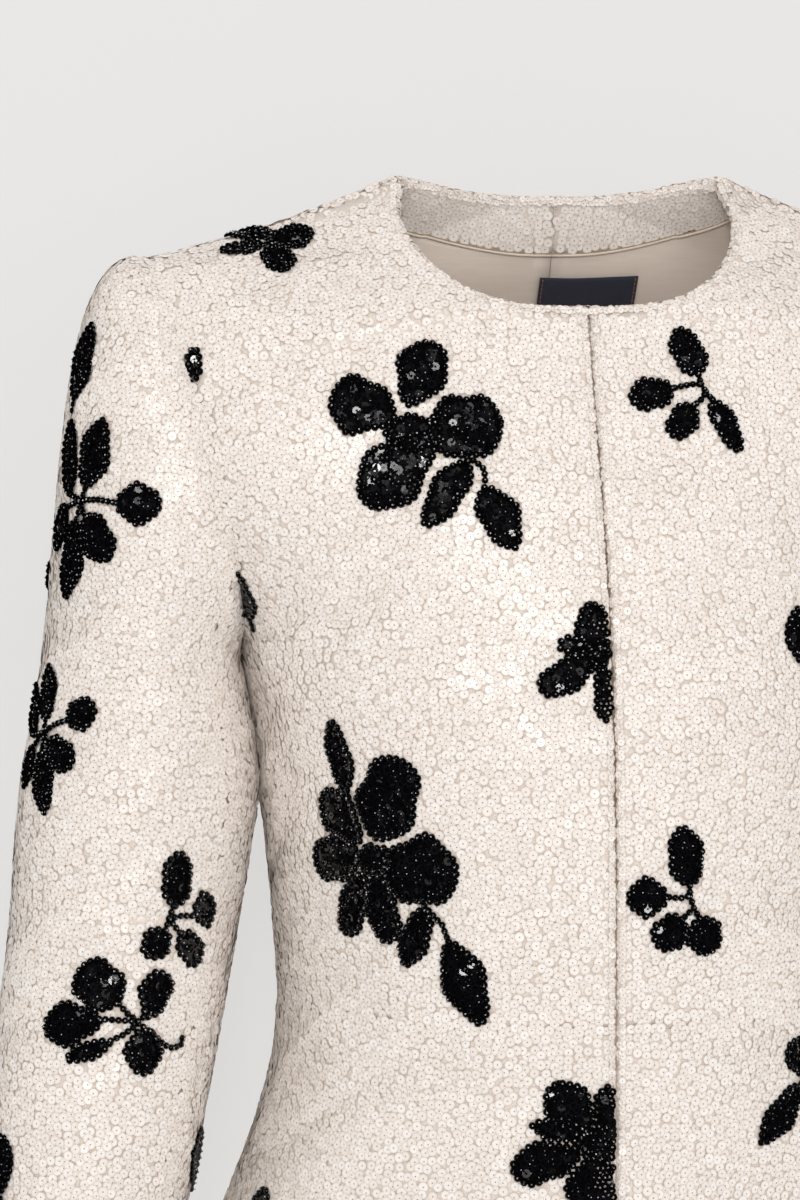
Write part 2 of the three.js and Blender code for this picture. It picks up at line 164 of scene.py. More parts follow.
def jetSequinMaterial():
    material, tree, shader = newMaterial("jetSequin", {"Roughness": 0.17, "IOR": 1.57})
    radius, toss = discPlace(tree)
    # painted sheen: a lighter rim on discs picked at random
    rim = addNode(tree, "ShaderNodeMapRange", {
        "interpolation_type": "SMOOTHSTEP", "From Min": 0.55, "From Max": 0.95}, {"Value": radius})
    paintedSheen = addNode(tree, "ShaderNodeMath", {"operation": "MULTIPLY"}, {0: rim.outputs[0], 1: toss})
    face = addNode(tree, "ShaderNodeMix", blend(jetSequin["face"], jetSequin["rim"]), {0: paintedSheen.outputs[0]})
    hole = addNode(tree, "ShaderNodeMapRange", {
        "From Min": jetSequin["holeSize"] * 1.3, "From Max": jetSequin["holeSize"]}, {"Value": radius})
    colour = addNode(tree, "ShaderNodeMix", {"data_type": "RGBA", 7: linear(jetSequin["hole"])},
                     {0: hole.outputs[0], 6: face.outputs[2]})
    cover(tree, shader, colour)
    return material


# Jet glass seed beads: polished and near black, each with one small sharp highlight.
def jetBeadMaterial():
    material, tree, shader = newMaterial("jetBead", {"Roughness": 0.12, "IOR": 1.6})
    noise = addNode(tree, "ShaderNodeTexNoise", {"Scale": 1 / (4 * mm), "Detail": 1.0})
    colour = addNode(tree, "ShaderNodeMix", blend("#030304", "#0B0B0D"), {0: noise.outputs[0]})
    cover(tree, shader, colour)
    return material


# Silver-lined glass seed beads, the small stoppers that hold each jet bead and some sequins. Their
# colour runs at random from grey to near white, a painted highlight: some show as white points
# and some stay grey.
def paintedGlintSeedMaterial():
    material, tree, shader = newMaterial("paintedGlintSeed", {"Roughness": 0.3, "IOR": 1.6, "Metallic": 0.25})
    toss = discPlace(tree)[1]
    # painted highlight: a random share of the seeds is coloured near white
    spread = addNode(tree, "ShaderNodeMath", {"operation": "POWER", 1: 1.6}, {0: toss})
    colour = addNode(tree, "ShaderNodeMix", blend("#2A2A2E", "#F4F4F8"), {0: spread.outputs[0]})
    cover(tree, shader, colour)
    return material


# Tan nylon net, the ground that the sequins are sewn to. Its threads lie about 0.8 mm apart and
# are drawn at 1.2 mm, so that they show: a dull warm ground in the gaps.
def tanNetMaterial():
    material, tree, shader = newMaterial("tanNet", {"Roughness": 0.75, "IOR": 1.53, "Sheen Weight": 0.15})
    place = addNode(tree, "ShaderNodeTexCoord")
    cells = addNode(tree, "ShaderNodeTexVoronoi", {"Scale": 1 / (1.2 * mm), "feature": "DISTANCE_TO_EDGE"},
                    {"Vector": place.outputs["Object"]})
    thread = addNode(tree, "ShaderNodeMapRange", {"From Min": 0.05, "From Max": 0.2},
                     {"Value": cells.outputs[0]})
    colour = addNode(tree, "ShaderNodeMix", blend("#F2E9E1", "#E2D3C6"), {0: thread.outputs[0]})
    bump = addNode(tree, "ShaderNodeBump", {"Strength": 0.5, "Distance": 0.2 * mm, "invert": True},
                   {"Height": thread.outputs[0]})
    cover(tree, shader, colour, bump)
    return material


# Beige polyester satin lining: floats of thread that run one way give a soft sheen with faint
# crossways slubs, over slight puckers.
satin = {"light": "#F3E8DD", "dark": "#E6D8CB", "slub": 1.6, "pucker": 38}


def beigeSatinMaterial():
    material, tree, shader = newMaterial("beigeSatin", {
        "Roughness": 0.38, "IOR": 1.54, "Sheen Weight": 0.25, "Sheen Roughness": 0.4})
    place = addNode(tree, "ShaderNodeTexCoord")
    stretch = addNode(tree, "ShaderNodeMapping", {"Scale": (1, 1, 9)}, {"Vector": place.outputs["Object"]})
    slubs = addNode(tree, "ShaderNodeTexNoise", {"Scale": 1 / (satin["slub"] * 9 * mm), "Detail": 4.0},
                    {"Vector": stretch.outputs[0]})
    colour = addNode(tree, "ShaderNodeMix", blend(satin["light"], satin["dark"]), {0: slubs.outputs[0]})
    puckers = addNode(tree, "ShaderNodeTexNoise", {"Scale": 1 / (satin["pucker"] * mm), "Detail": 1.0},
                      {"Vector": place.outputs["Object"]})
    soft = addNode(tree, "ShaderNodeBump", {"Strength": 0.6, "Distance": 2.5 * mm},
                   {"Height": puckers.outputs[0]})
    fine = addNode(tree, "ShaderNodeBump", {"Strength": 0.12, "Distance": 0.3 * mm},
                   {"Height": slubs.outputs[0], "Normal": soft.outputs[0]})
    cover(tree, shader, colour, fine)
    return material


# Navy damask tape, woven with about 20 threads a centimetre and left bare: dull, with a fine rib.
def navyTapeMaterial():
    material, tree, shader = newMaterial("navyTape", {"Roughness": 0.6, "IOR": 1.5, "Sheen Weight": 0.3})
    place = addNode(tree, "ShaderNodeTexCoord")
    ribs = addNode(tree, "ShaderNodeTexWave", {
        "bands_direction": "Z", "Scale": 2 * math.pi / (20 * 0.5 * mm), "Distortion": 0.6},
        {"Vector": place.outputs["Object"]})
    floats = addNode(tree, "ShaderNodeTexNoise", {"Scale": 1 / (0.9 * mm), "Detail": 2.0},
                     {"Vector": place.outputs["Object"]})
    mixed = addNode(tree, "ShaderNodeMath", {"operation": "MULTIPLY"},
                    {0: ribs.outputs[1], 1: floats.outputs[0]})
    colour = addNode(tree, "ShaderNodeMix", blend("#1C2030", "#39405A"), {0: mixed.outputs[0]})
    bump = addNode(tree, "ShaderNodeBump", {"Strength": 0.4, "Distance": 0.1 * mm},
                   {"Height": mixed.outputs[0]})
    cover(tree, shader, colour, bump)
    return material


# Spun polyester sewing thread: matt, with a slight twist that shows as light and dark flecks.
def threadMaterial(name, light, dark):
    material, tree, shader = newMaterial(name, {"Roughness": 0.65, "IOR": 1.53, "Sheen Weight": 0.2})
    twist = addNode(tree, "ShaderNodeTexNoise", {"Scale": 1 / (0.6 * mm), "Detail": 2.0})
    colour = addNode(tree, "ShaderNodeMix", blend(dark, light), {0: twist.outputs[0]})
    cover(tree, shader, colour)
    return material


finishes = {
    "sequin": pearlSequinMaterial(),
    "jetSequin": jetSequinMaterial(),
    "jetBead": jetBeadMaterial(),
    "paintedGlintSeed": paintedGlintSeedMaterial(),
    "net": tanNetMaterial(),
    "satin": beigeSatinMaterial(),
    "tape": navyTapeMaterial(),
    "rust": threadMaterial("rustThread", "#C98A5A", "#8A4F2C"),
    "tan": threadMaterial("tanThread", "#CDB693", "#8E7352"),
}
print("materials made")


# The jacket's shape, in millimetres, for the left half: the right half mirrors it

def table(names, rows):
    return dict(zip(names.split(), np.array(sorted(rows), float).T))


waistZ, hemZ, bicepZ, cuffZ = -408, -598, -245, -600
# The neck's pairs are for the front and the back. Its thick cloth leans in at the shoulder seams.
neck = {"halfWidth": 88, "depth": (72, 20), "drop": (66, 12), "round": (0.68, 0.75), "fall": (0.9, 3.5),
        "cornerIn": 5, "cornerDown": 2.4, "cornerReach": (0.13, 0.42)}
armhole = {"topX": 207, "topZ": -43, "bottomX": 162, "bottomY": -2, "bottomZ": -230,
           "front": 60, "back": 58, "lowBulge": 0.22, "backOut": 6, "sideCurve": 1.1}
neckRow, armpitRow = 0.2, 0.55  # body rows run from the shoulder line at 0 to the waist at 1 or -1
centreFront = table("z y", [
    (waistZ, -146), (-330, -144), (-261, -138), (-190, -121), (-120, -94), (-66, -72)])
centreBack = table("z y", [
    (waistZ, 77), (-330, 80), (-250, 88), (-160, 88), (-100, 66), (-65, 42), (-40, 26), (-12, 20)])
sideSeam = table("z x y", [
    (waistZ, 144, -16), (-355, 147.5, -13), (-306, 152, -9), (-262, 156, -5), (-230, 162, -2)])
bodyRows = table("row leaveX leaveZ meetX meetY meetZ", [
    (-1, 84, 0, 0, -74, 0), (-0.75, 98, 0, 0, -84, 0), (-0.55, 110, 0, 4, -78, 0),
    (-0.47, 98, 0, -11, -45, 0), (-0.38, 90, 0, -26, -32, 2), (-0.2, 74, 0, -40, -24, 6),
    (-0.08, 54, -12, -44, -10, 9), (0, 42, -19, -42, 0, 10), (0.08, 54, -14, -44, 12, 9),
    (0.2, 76, -4, -36, 26, 8), (0.38, 92, 0, -20, 30, 2), (0.47, 97, 0, -9, 38, 0),
    (0.55, 102, 0, 2, 58, 0), (0.75, 90, 0, 0, 58, 0), (1, 82, 0, 0, 54, 0)])
peplumSections = table("z halfWidth front back sideY", [
    (hemZ, 196, -154, 136, -10), (-545, 179, -149, 118, -12), (-511, 168, -147, 106, -13),
    (-475, 155.5, -146, 94, -14), (-438, 146.5, -146, 83, -15), (waistZ, 144, -146, 77, -16)])
flutes = {"perSide": 4, "depth": 6, "growth": 1.4, "plainFront": 0.3}
sleeveRings = table("z x y width depth lean", [
    (-600, 257, -52, 42, 45, 0.3), (-560, 252, -45, 46, 49, 0.26), (-511, 245, -35, 51, 54, 0.2),
    (-451, 235, -24, 54, 58, 0.12), (-376, 222, -12, 56, 61, 0.05), (-306, 213.5, -5, 58, 63, 0),
    (-245, 212, -2, 48.5, 62, 0)])
sleeveHead = {"out": 22, "topOut": 20, "side": 12, "up": 10, "fall": 0.5, "spread": 0.12}


def spot(x, y, z):
    return np.stack(np.broadcast_arrays(x, y, z), -1).astype(float)


def unit(vectors):
    return vectors / np.maximum(np.linalg.norm(vectors, axis=-1, keepdims=True), 1e-9)


def dot(one, other):
    return (one * other).sum(-1)


def mirrored(vectors, side):
    return vectors * (side, 1, 1)


def runOf(line):
    # the length along a line at each of its points
    return np.append(0, np.cumsum(np.linalg.norm(np.diff(line, axis=0), axis=1)))


def sample(line, run, at):
    # points at some lengths along a line
    return np.stack([np.interp(at, run, column) for column in line.T], 1)


def smooth(values, low, high):
    t = np.clip((values - low) / (high - low), 0, 1)
    return t * t * (3 - 2 * t)


def readTable(rows, at, column):
    # a smooth curve through a column's values over the first column
    keys, values = next(iter(rows.values())), rows[column]
    slopes = (np.append(values[1:], values[-1]) - np.append(values[0], values[:-1])) / (
        np.append(keys[1:], keys[-1]) - np.append(keys[0], keys[:-1]))
    low = np.clip(np.searchsorted(keys, at, side="right") - 1, 0, len(keys) - 2)
    span = keys[low + 1] - keys[low]
    t = (at - keys[low]) / span
    rise = values[low + 1] - values[low]
    start, end = slopes[low] * span, slopes[low + 1] * span
    return values[low] + t * (start + t * (3 * rise - 2 * start - end + t * (start + end - 2 * rise)))


def cubic(start, leave, meet, end, t):
    s, t = 1 - t[..., None], t[..., None]
    return start * s ** 3 + (start + leave) * 3 * s * s * t + (end + meet) * 3 * s * t * t + end * t ** 3


def neckEdge(place):
    # from the shoulder line at 0 to the centre front at -1 or the centre back at 1
    place = np.clip(place, -1, 1)
    turn = math.pi / 2 * (1 - np.abs(place))
    middle = np.cos(turn)
    roundness, fall, depth, drop = (
        np.where(place < 0, *neck[key]) for key in ("round", "fall", "depth", "drop"))
    way = np.where(place < 0, -1, 1)
    corner = np.exp(-(place / np.where(place < 0, *neck["cornerReach"])) ** 2)
    x = neck["halfWidth"] * np.sin(turn) ** roundness - neck["cornerIn"] * corner
    return spot(x, way * depth * middle, -drop * middle ** fall - neck["cornerDown"] * corner)


def armholeEdge(turn):
    # by the turn from its top, below 0 in front
    height = (1 + np.cos(turn)) / 2
    reach = np.where(turn < 0, armhole["front"], armhole["back"])
    bulge = 1 + armhole["lowBulge"] * (1 - 2 * height)
    y = reach * np.sin(turn) * bulge + armhole["bottomY"] * (1 - height)
    x = armhole["bottomX"] + (armhole["topX"] - armhole["bottomX"]) * height ** armhole["sideCurve"]
    out = np.where(turn > 0, armhole["backOut"] * np.sin(turn) ** 2, 0)
    return spot(x + out, y, armhole["bottomZ"] + (armhole["topZ"] - armhole["bottomZ"]) * height)


def centreEdge(row):
    away = np.abs(row)
    top = -np.where(row < 0, *neck["drop"])
    z = top + (waistZ - top) * (np.maximum(away, neckRow) - neckRow) / (1 - neckRow)
    below = np.where(row < 0, readTable(centreFront, z, "y"), readTable(centreBack, z, "y"))
    return np.where((away <= neckRow)[..., None], neckEdge(row / neckRow), spot(0, below, z))


def armEdge(row):
    away = np.abs(row)
    below = (waistZ - armhole["bottomZ"]) * (np.maximum(away, armpitRow) - armpitRow) / (1 - armpitRow)
    z = armhole["bottomZ"] + below
    side = spot(readTable(sideSeam, z, "x"), readTable(sideSeam, z, "y"), z)
    turn = np.clip(math.pi * row / armpitRow, -math.pi, math.pi)
    return np.where((away <= armpitRow)[..., None], armholeEdge(turn), side)


def bodyPoint(across, row):
    leave = spot(readTable(bodyRows, row, "leaveX"), 0, readTable(bodyRows, row, "leaveZ"))
    meet = spot(*(readTable(bodyRows, row, column) for column in ("meetX", "meetY", "meetZ")))
    return cubic(centreEdge(row), leave, meet, armEdge(row), across)


def peplumPoint(across, down, way):
    z = waistZ + (hemZ - waistZ) * down
    width, sideY = readTable(peplumSections, z, "halfWidth"), readTable(peplumSections, z, "sideY")
    middle = np.where(way < 0, readTable(peplumSections, z, "front"), readTable(peplumSections, z, "back"))
    waist = {name: column[-1] for name, column in peplumSections.items()}
    deepen = (middle - sideY) / (np.where(way < 0, waist["front"], waist["back"]) - waist["sideY"])
    leave = spot(np.where(way < 0, *bodyRows["leaveX"][[0, -1]]) * width / waist["halfWidth"], 0, 0)
    meet = spot(0, np.where(way < 0, *bodyRows["meetY"][[0, -1]]) * deepen, 0)
    start, end = spot(0, middle, z), spot(width, sideY, z)
    nudge = 0.01
    along = unit(cubic(start, leave, meet, end, np.minimum(across + nudge, 1))
                 - cubic(start, leave, meet, end, np.maximum(across - nudge, 0)))
    out = spot(-way * along[..., 1], way * along[..., 0], 0)
    around = np.where(way < 0, across, 2 - across)
    wave = np.cos(math.pi * flutes["perSide"] * around) * smooth(around, 0, flutes["plainFront"])
    swell = flutes["depth"] * np.maximum(down, 0) ** flutes["growth"] * wave
    return cubic(start, leave, meet, end, across) + out * swell[..., None]


def torso(across, level):
    # level runs from the front hem at -2 over the shoulder at 0 to the back hem at 2
    across, level = np.broadcast_arrays(np.asarray(across, float), np.asarray(level, float))
    way = np.where(level < 0, -1, 1)
    body = bodyPoint(across, np.clip(level, -1, 1))
    return np.where((np.abs(level) <= 1)[..., None], body, peplumPoint(across, np.abs(level) - 1, way))


def sleeveRing(turn, z):
    width, depth, lean, x, y = (
        readTable(sleeveRings, z, column) for column in ("width", "depth", "lean", "x", "y"))
    away = depth * np.sin(turn)
    return spot(x + width * np.cos(turn), y + away, z - lean * away)


def sleeve(turn, down):
    # turn as on the armhole; down runs from the armhole at 0 past the armpit level at 1 to the cuff at 2
    turn, down = np.broadcast_arrays(np.asarray(turn, float), np.asarray(down, float))
    turn = np.where(turn > math.pi, turn - 2 * math.pi, turn)
    top, arm = armholeEdge(turn), sleeveRing(turn, np.full(turn.shape, float(bicepZ)))
    upper = np.cos(turn)
    leave = spot(sleeveHead["out"] + sleeveHead["topOut"] * upper, sleeveHead["side"] * np.sin(turn),
                 sleeveHead["up"] * upper)
    fall = sleeveHead["fall"] * (top[..., 2] - arm[..., 2])
    head = cubic(top, leave, spot(-sleeveHead["spread"] * fall * upper, 0, fall), arm, np.minimum(down, 1))
    below = sleeveRing(turn, bicepZ + (cuffZ - bicepZ) * (np.maximum(down, 1) - 1))
    return np.where((down < 1)[..., None], head, below)


# Soft creases of worn cloth: where each lies, which way it runs, its size, and its
# depth, below 0 for a trough. Those of the right side keep their own rows.
creases = {
    ("torso", -1): [
        # x, y, z, dx, dy, dz, length, width, depth
        (148, -40, -262, -0.75, -0.4, -0.5, 42, 11, -1.6),
        (140, -66, -300, -0.8, -0.3, -0.35, 46, 13, -1.3),
        (128, -92, -398, -0.9, -0.3, 0.1, 44, 9, -1.5), (133, -80, -425, -0.9, -0.3, -0.15, 36, 10, 1.2),
        (70, -140, -395, -1, 0, 0.12, 40, 14, -0.9), (165, -46, -120, -0.3, -0.2, -0.9, 46, 13, -1.1),
        (160, 0, -276, -0.06, 0, -1, 46, 26, 1.4)],
    ("torso", 1): [
        (150, -38, -270, -0.75, -0.4, -0.45, 40, 12, -1.5),
        (136, -74, -318, -0.85, -0.3, -0.3, 40, 13, -1.1),
        (130, -88, -402, -0.9, -0.3, 0.05, 48, 10, -1.4), (84, -136, -386, -1, 0, 0.1, 36, 13, -0.9),
        (120, 52, -396, -0.9, 0.3, 0.1, 50, 12, -1.5), (150, 30, -262, -0.7, 0.5, -0.5, 44, 12, -1.5),
        (160, 0, -276, -0.06, 0, -1, 46, 26, 1.4)],
    ("sleeve", -1): [
        (228, -64, -338, 0.85, 0, -0.5, 26, 8, -1.8), (216, -68, -362, 0.9, 0, 0.35, 30, 8, -1.9),
        (236, -62, -392, 0.8, 0, -0.55, 24, 8, -1.3), (196, -52, -232, 0.5, -0.2, 0.85, 44, 11, -1.6),
        (258, 6, -355, -0.1, 0.9, -0.4, 34, 10, 1.4), (186, -44, -290, 0.4, -0.5, -0.75, 36, 10, -1.4),
        (222, -66, -470, 0.9, 0, 0.3, 30, 11, -1.1), (262, -20, -180, -0.1, 0.3, -0.9, 50, 16, -1.3),
        (168, -14, -278, 0.06, 0, -1, 48, 30, 2.8)],
    ("sleeve", 1): [
        (226, -66, -345, 0.88, 0, -0.4, 28, 8, -1.8), (218, -68, -374, 0.9, 0, 0.3, 26, 8, -1.7),
        (194, -50, -240, 0.5, -0.2, 0.85, 40, 11, -1.5), (232, -64, -410, 0.85, 0, -0.45, 26, 9, -1.2),
        (260, 4, -350, -0.1, 0.9, -0.35, 32, 10, 1.3), (228, -70, -490, 0.9, 0, 0.25, 26, 10, -1.0),
        (168, -14, -278, 0.06, 0, -1, 48, 30, 2.8)],
}


def crease(spots, out, rows):
    for x, y, z, dx, dy, dz, length, width, depth in rows:
        run = unit(np.array([dx, dy, dz], float))
        away = spots - (x, y, z)
        along = np.clip(dot(away, run), -length, length)
        side = np.linalg.norm(away - along[..., None] * run, axis=-1)
        fade = np.cos(along / length * math.pi / 2) ** 0.7
        spots = spots + out * (depth * np.exp(-((side / width) ** 2)) * fade)[..., None]
    return spots


def worn(kind, side):
    # a plain surface, pushed about by the creases of its side
    def surface(a, b):
        if kind == "torso":
            spots = torso(a, b)
            out = unit(spots * (1, 1, 0) - spot(0.35 * spots[..., 0], -30, 0))
        else:
            spots = sleeve(a, b)
            out = spot(np.cos(a), np.sin(a), 0)
        return crease(spots, out, creases[kind, side])
    return surface


surfaces = {home: worn(*home) for home in creases}


def slopes(surface, a, b, step=0.002):
    return ((surface(a + step, b) - surface(a - step, b)) / (2 * step),
            (surface(a, b + step) - surface(a, b - step)) / (2 * step))


def facing(home, a, b):
    # points and outward directions of a surface's left half; a home is a kind and a side
    surface = surfaces[home]
    out = unit(np.cross(*slopes(surface, a, b)))
    return surface(a, b), -out if home[0] == "sleeve" else out


def leastSquares(alongA, alongB, miss):
    # the change of place that comes nearest to a missing step
    aa, bb, ab = dot(alongA, alongA), dot(alongB, alongB), dot(alongA, alongB)
    am, bm = dot(alongA, miss), dot(alongB, miss)
    spread = aa * bb - ab * ab
    return (am * bb - bm * ab) / spread, (bm * aa - am * ab) / spread


halfBack = 200  # about half the back's width, for first guesses


def settle(surface, targets, a, b, rounds=30):
    # the nearest places on the body's surface, from first guesses, by repeated careful steps
    for _ in range(rounds):
        stepA, stepB = leastSquares(*slopes(surface, a, b), targets - surface(a, b))
        a, b = np.clip(a + 0.7 * stepA, -0.02, math.pi), np.clip(b + 0.7 * stepB, -2, 2)
    return a, b


# Cloth edges that are turned in round: neck, fronts, hem and cuffs

frontGap = 2.6  # the rolled edges stand a little back from the solids' 1 mm gap
clothThickness, neckThickness, liningThickness = 2.4, 5.2, 1.2
thinnest = 1.9  # the wall that a turned edge leaves
edgeRadius = {"neckFront": 2.6, "neckBack": 2.3, "centreFront": 1.8, "hem": 1.8, "cuff": 1.8}
edgeLines = {
    "neckFront": neckEdge(np.linspace(-1, 0, 160)),
    "neckBack": neckEdge(np.linspace(0, 1, 120)),
    "centreFront": torso(0, np.linspace(-2, -neckRow, 260)) * (0, 1, 1) + (frontGap / 2, 0, 0),
    "hem": torso(*np.meshgrid(np.linspace(0, 1, 150), [-2, 2])).reshape(-1, 3),
    "cuff": sleeve(np.linspace(-math.pi, math.pi, 200), 2),
}


def nearLine(spots, line, reach=32):
    # distance to a line and the way towards it, where the line is in reach
    gap, way = np.full(len(spots), 1e3), np.zeros((len(spots), 3))
    low, high = line.min(0) - reach, line.max(0) + reach
    near = np.flatnonzero(((spots > low) & (spots < high)).all(1))
    for some in np.array_split(near, max(1, len(near) // 3000)):
        step = line[None] - spots[some, None]
        far = np.linalg.norm(step, axis=2)
        best = far.argmin(1)
        gap[some] = far[np.arange(len(some)), best]
        way[some] = step[np.arange(len(some)), best]
    return gap, unit(way)


def edgeDepth(spots, edges):
    # how deep each face lies at the turned edges, and how it tilts there
    sunk, tilt = np.zeros(len(spots)), np.zeros((len(spots), 3))
    nearest = np.full(len(spots), 1e3)
    for name in edges:
        radius = edgeRadius[name]
        gap, way = nearLine(spots, edgeLines[name])
        lean = np.clip(1 - gap / radius, 0, 1)
        drop = radius * (1 - np.sqrt(1 - lean ** 2))
        deeper = drop > sunk
        sunk[deeper], tilt[deeper] = drop[deeper], (way * lean[:, None])[deeper]
        nearest = np.minimum(nearest, gap)
    return sunk, tilt, nearest


# Panels: the cut pieces, each over its own range of a surface, with its turned edges

frontSeamTurn, backSeamTurn = math.radians(-134.2), math.radians(131.6)
panels = {
    "front": {"kind": "torso", "a": (0, 1), "b": (-1, 0), "cells": (26, 56), "crowd": 1.5,
              "edges": ("neckFront", "centreFront"), "flat": (0.235, 0.44), "area": 0.083},
    "back": {"kind": "torso", "a": (0, 1), "b": (0, 1), "cells": (24, 54), "crowd": 1.2,
             "edges": ("neckBack",), "flat": (0.23, 0.44), "area": 0.082},
    "peplum_front": {"kind": "torso", "a": (0, 1), "b": (-2, -1), "cells": (36, 24), "crowd": 1.3,
                     "edges": ("centreFront", "hem"), "flat": (0.29, 0.195), "area": 0.046},
    "peplum_back": {"kind": "torso", "a": (0, 1), "b": (1, 2), "cells": (36, 24), "crowd": 1.0,
                    "edges": ("hem",), "flat": (0.28, 0.2), "area": 0.046},
    "sleeve_upper": {"kind": "sleeve", "a": (frontSeamTurn, backSeamTurn), "b": (0, 2), "cells": (34, 68),
                     "crowd": 1.0, "edges": ("cuff",), "flat": (0.31, 0.6), "area": 0.128},
    "sleeve_under": {"kind": "sleeve", "a": (backSeamTurn, 2 * math.pi + frontSeamTurn), "b": (0, 2),
                     "cells": (10, 58), "crowd": 1.0, "edges": ("cuff",), "flat": (0.09, 0.5),
                     "area": 0.036},
}
sides = {"right": -1, "left": 1}
nodeNames = {"sleeve_upper": "sleeve_{}_upper", "sleeve_under": "sleeve_{}_under"}
seamGap = 0.3


def nodeOf(panelName, sideName):
    return nodeNames.get(panelName, panelName + "_{}").format(sideName)


def gridOf(panel):
    across, down = panel["cells"]
    a0, a1 = panel["a"]
    a = a0 + (a1 - a0) * np.linspace(0, 1, across + 1) ** panel["crowd"]
    return np.meshgrid(a, np.linspace(*panel["b"], down + 1))


def quadsOf(shape):
    number = np.arange(shape[0] * shape[1]).reshape(shape)
    return np.stack([number[:-1, :-1], number[:-1, 1:], number[1:, 1:], number[1:, :-1]], -1).reshape(-1, 4)


def rimOf(shape):
    number = np.arange(shape[0] * shape[1]).reshape(shape)
    loop = np.concatenate([number[0, :-1], number[:-1, -1], number[-1, :0:-1], number[:0:-1, 0]])
    return np.stack([loop, np.roll(loop, -1)], 1)


def placeMesh(name, mesh):
    thing = bpy.data.objects.new(name, mesh)
    root.objects.link(thing)
    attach(thing, "root")
    return thing


def addMesh(name, spots, faces, materials, chosen=None):
    mesh = bpy.data.meshes.new(name)
    mesh.from_pydata((spots * mm).tolist(), [], [list(face) for face in faces])
    for material in materials:
        mesh.materials.append(material)
    if chosen is not None:
        mesh.polygons.foreach_set("material_index", np.asarray(chosen, np.int32))
    mesh.polygons.foreach_set("use_smooth", np.ones(len(mesh.polygons), bool))
    mesh.update()
    return placeMesh(name, mesh)


def addShell(name, outer, inner, side, flipped, materials, inside=0):
    # a closed wall between two grids of points, with its own finish for each inner face
    shape = outer.shape[:2]
    count = shape[0] * shape[1]
    quads, rim = quadsOf(shape), rimOf(shape)
    walls = np.stack([rim[:, 1], rim[:, 0], rim[:, 0] + count, rim[:, 1] + count], 1)
    faces = np.concatenate([quads, quads[:, ::-1] + count, walls])
    if flipped:
        faces = faces[:, ::-1]
    chosen = np.zeros(len(faces), int)
    chosen[len(quads):2 * len(quads)] = inside
    spots = np.concatenate([outer.reshape(-1, 3), inner.reshape(-1, 3)])
    return addMesh(name, mirrored(spots, side), faces, materials, chosen)


def under(spots, out, depth, shape):
    # points at a depth below the cloth's outer face, as a grid
    return (spots - out * np.broadcast_to(depth, len(spots))[:, None]).reshape(*shape, 3)


def drawIn(*grids):
    # stops a panel half a seam gap short of its neighbours
    half = seamGap / 2
    for grid in grids:
        for lines in (grid, grid.swapaxes(0, 1)):
            for edge, inner in ((lines[0], lines[1]), (lines[-1], lines[-2])):
                edge += unit(inner - edge) * half


facingDepth = 27


def neckWall(toNeck):
    # the cloth is turned in double at the front neck and thins away from it
    return clothThickness + (neckThickness - clothThickness) * (1 - smooth(toNeck, 4, facingDepth))


def dressPanel(name, panel, sideName):
    home = (panel["kind"], sides[sideName])
    a, b = gridOf(panel)
    spots, out = facing(home, a.ravel(), b.ravel())
    if name in ("front", "peplum_front"):
        spots[:, 0] = np.maximum(spots[:, 0], frontGap / 2)
    sunk, _, _ = edgeDepth(spots, panel["edges"])
    toNeck = nearLine(spots, edgeLines["neckFront"])[0] if name == "front" else np.full(len(spots), 1e3)
    thickness = neckWall(toNeck)
    rise = np.zeros(len(spots)) if name == "back" else np.minimum(sunk, thickness - thinnest)
    outer, inner = under(spots, out, sunk, a.shape), under(spots, out, thickness - rise, a.shape)
    drawIn(outer, inner)
    inside = np.where(toNeck[quadsOf(a.shape)].mean(1) < facingDepth, 0, 1)
    nodeName = nodeOf(name, sideName)
    flipped = (home[1] < 0) != (home[0] == "sleeve")
    shell = addShell(f"cloth_{nodeName}", outer, inner, home[1], flipped,
                     [finishes["net"], finishes["satin"]], inside)
    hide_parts(nodeName)


for panelName, panel in panels.items():
    for sideName in sides:
        dressPanel(panelName, panel, sideName)
print("cloth shells made")


# Facing, lining and label inside the back

insideDepth = 2.7  # below the outer face of the back
nudge, first = 0.01, 0.0012  # a step along the neck edge, and the least row, just behind the shoulder


def belowNeck(place, depth, surface):
    # places on the back at a depth below the neck edge, by the place along it
    before, after = neckEdge(np.maximum(place - nudge, first)), neckEdge(np.minimum(place + nudge, 1))
    alongA, alongB = slopes(surface, np.full(place.shape, nudge), neckRow * place)
    away = unit(np.cross(after - before, np.cross(alongA, alongB)))
    target = neckEdge(place) + away * depth[..., None]
    a, b = settle(surface, target, depth / halfBack, neckRow * place)
    return np.where(place >= 1, 0, np.clip(a, 0, 1)), np.maximum(b, first)


def dressFacing(sideName):
    home = ("torso", sides[sideName])
    place, depth = np.meshgrid(
        np.linspace(0, 1, 33), facingDepth * np.linspace(0, 1, 9) ** 1.3, indexing="ij")
    a, b = belowNeck(place.ravel(), depth.ravel(), surfaces[home])
    spots, out = facing(home, a, b)
    spots[:, 0] = np.maximum(spots[:, 0], seamGap / 2)
    sunk, _, _ = edgeDepth(spots, panels["back"]["edges"])
    hidden = under(spots, out, insideDepth, place.shape)
    shown = under(spots, out, insideDepth + clothThickness - sunk, place.shape)
    shell = addShell(f"cloth_neck_facing_{sideName}", hidden, shown, home[1], home[1] < 0,
                     [finishes["net"]])
    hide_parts(f"neck_facing_{sideName}")
    # its lower edge, for the binding, and the same places on the back, where the lining starts
    low = mirrored(shown[:, -1], home[1])
    return low, (a.reshape(place.shape)[:, -1], b.reshape(place.shape)[:, -1])


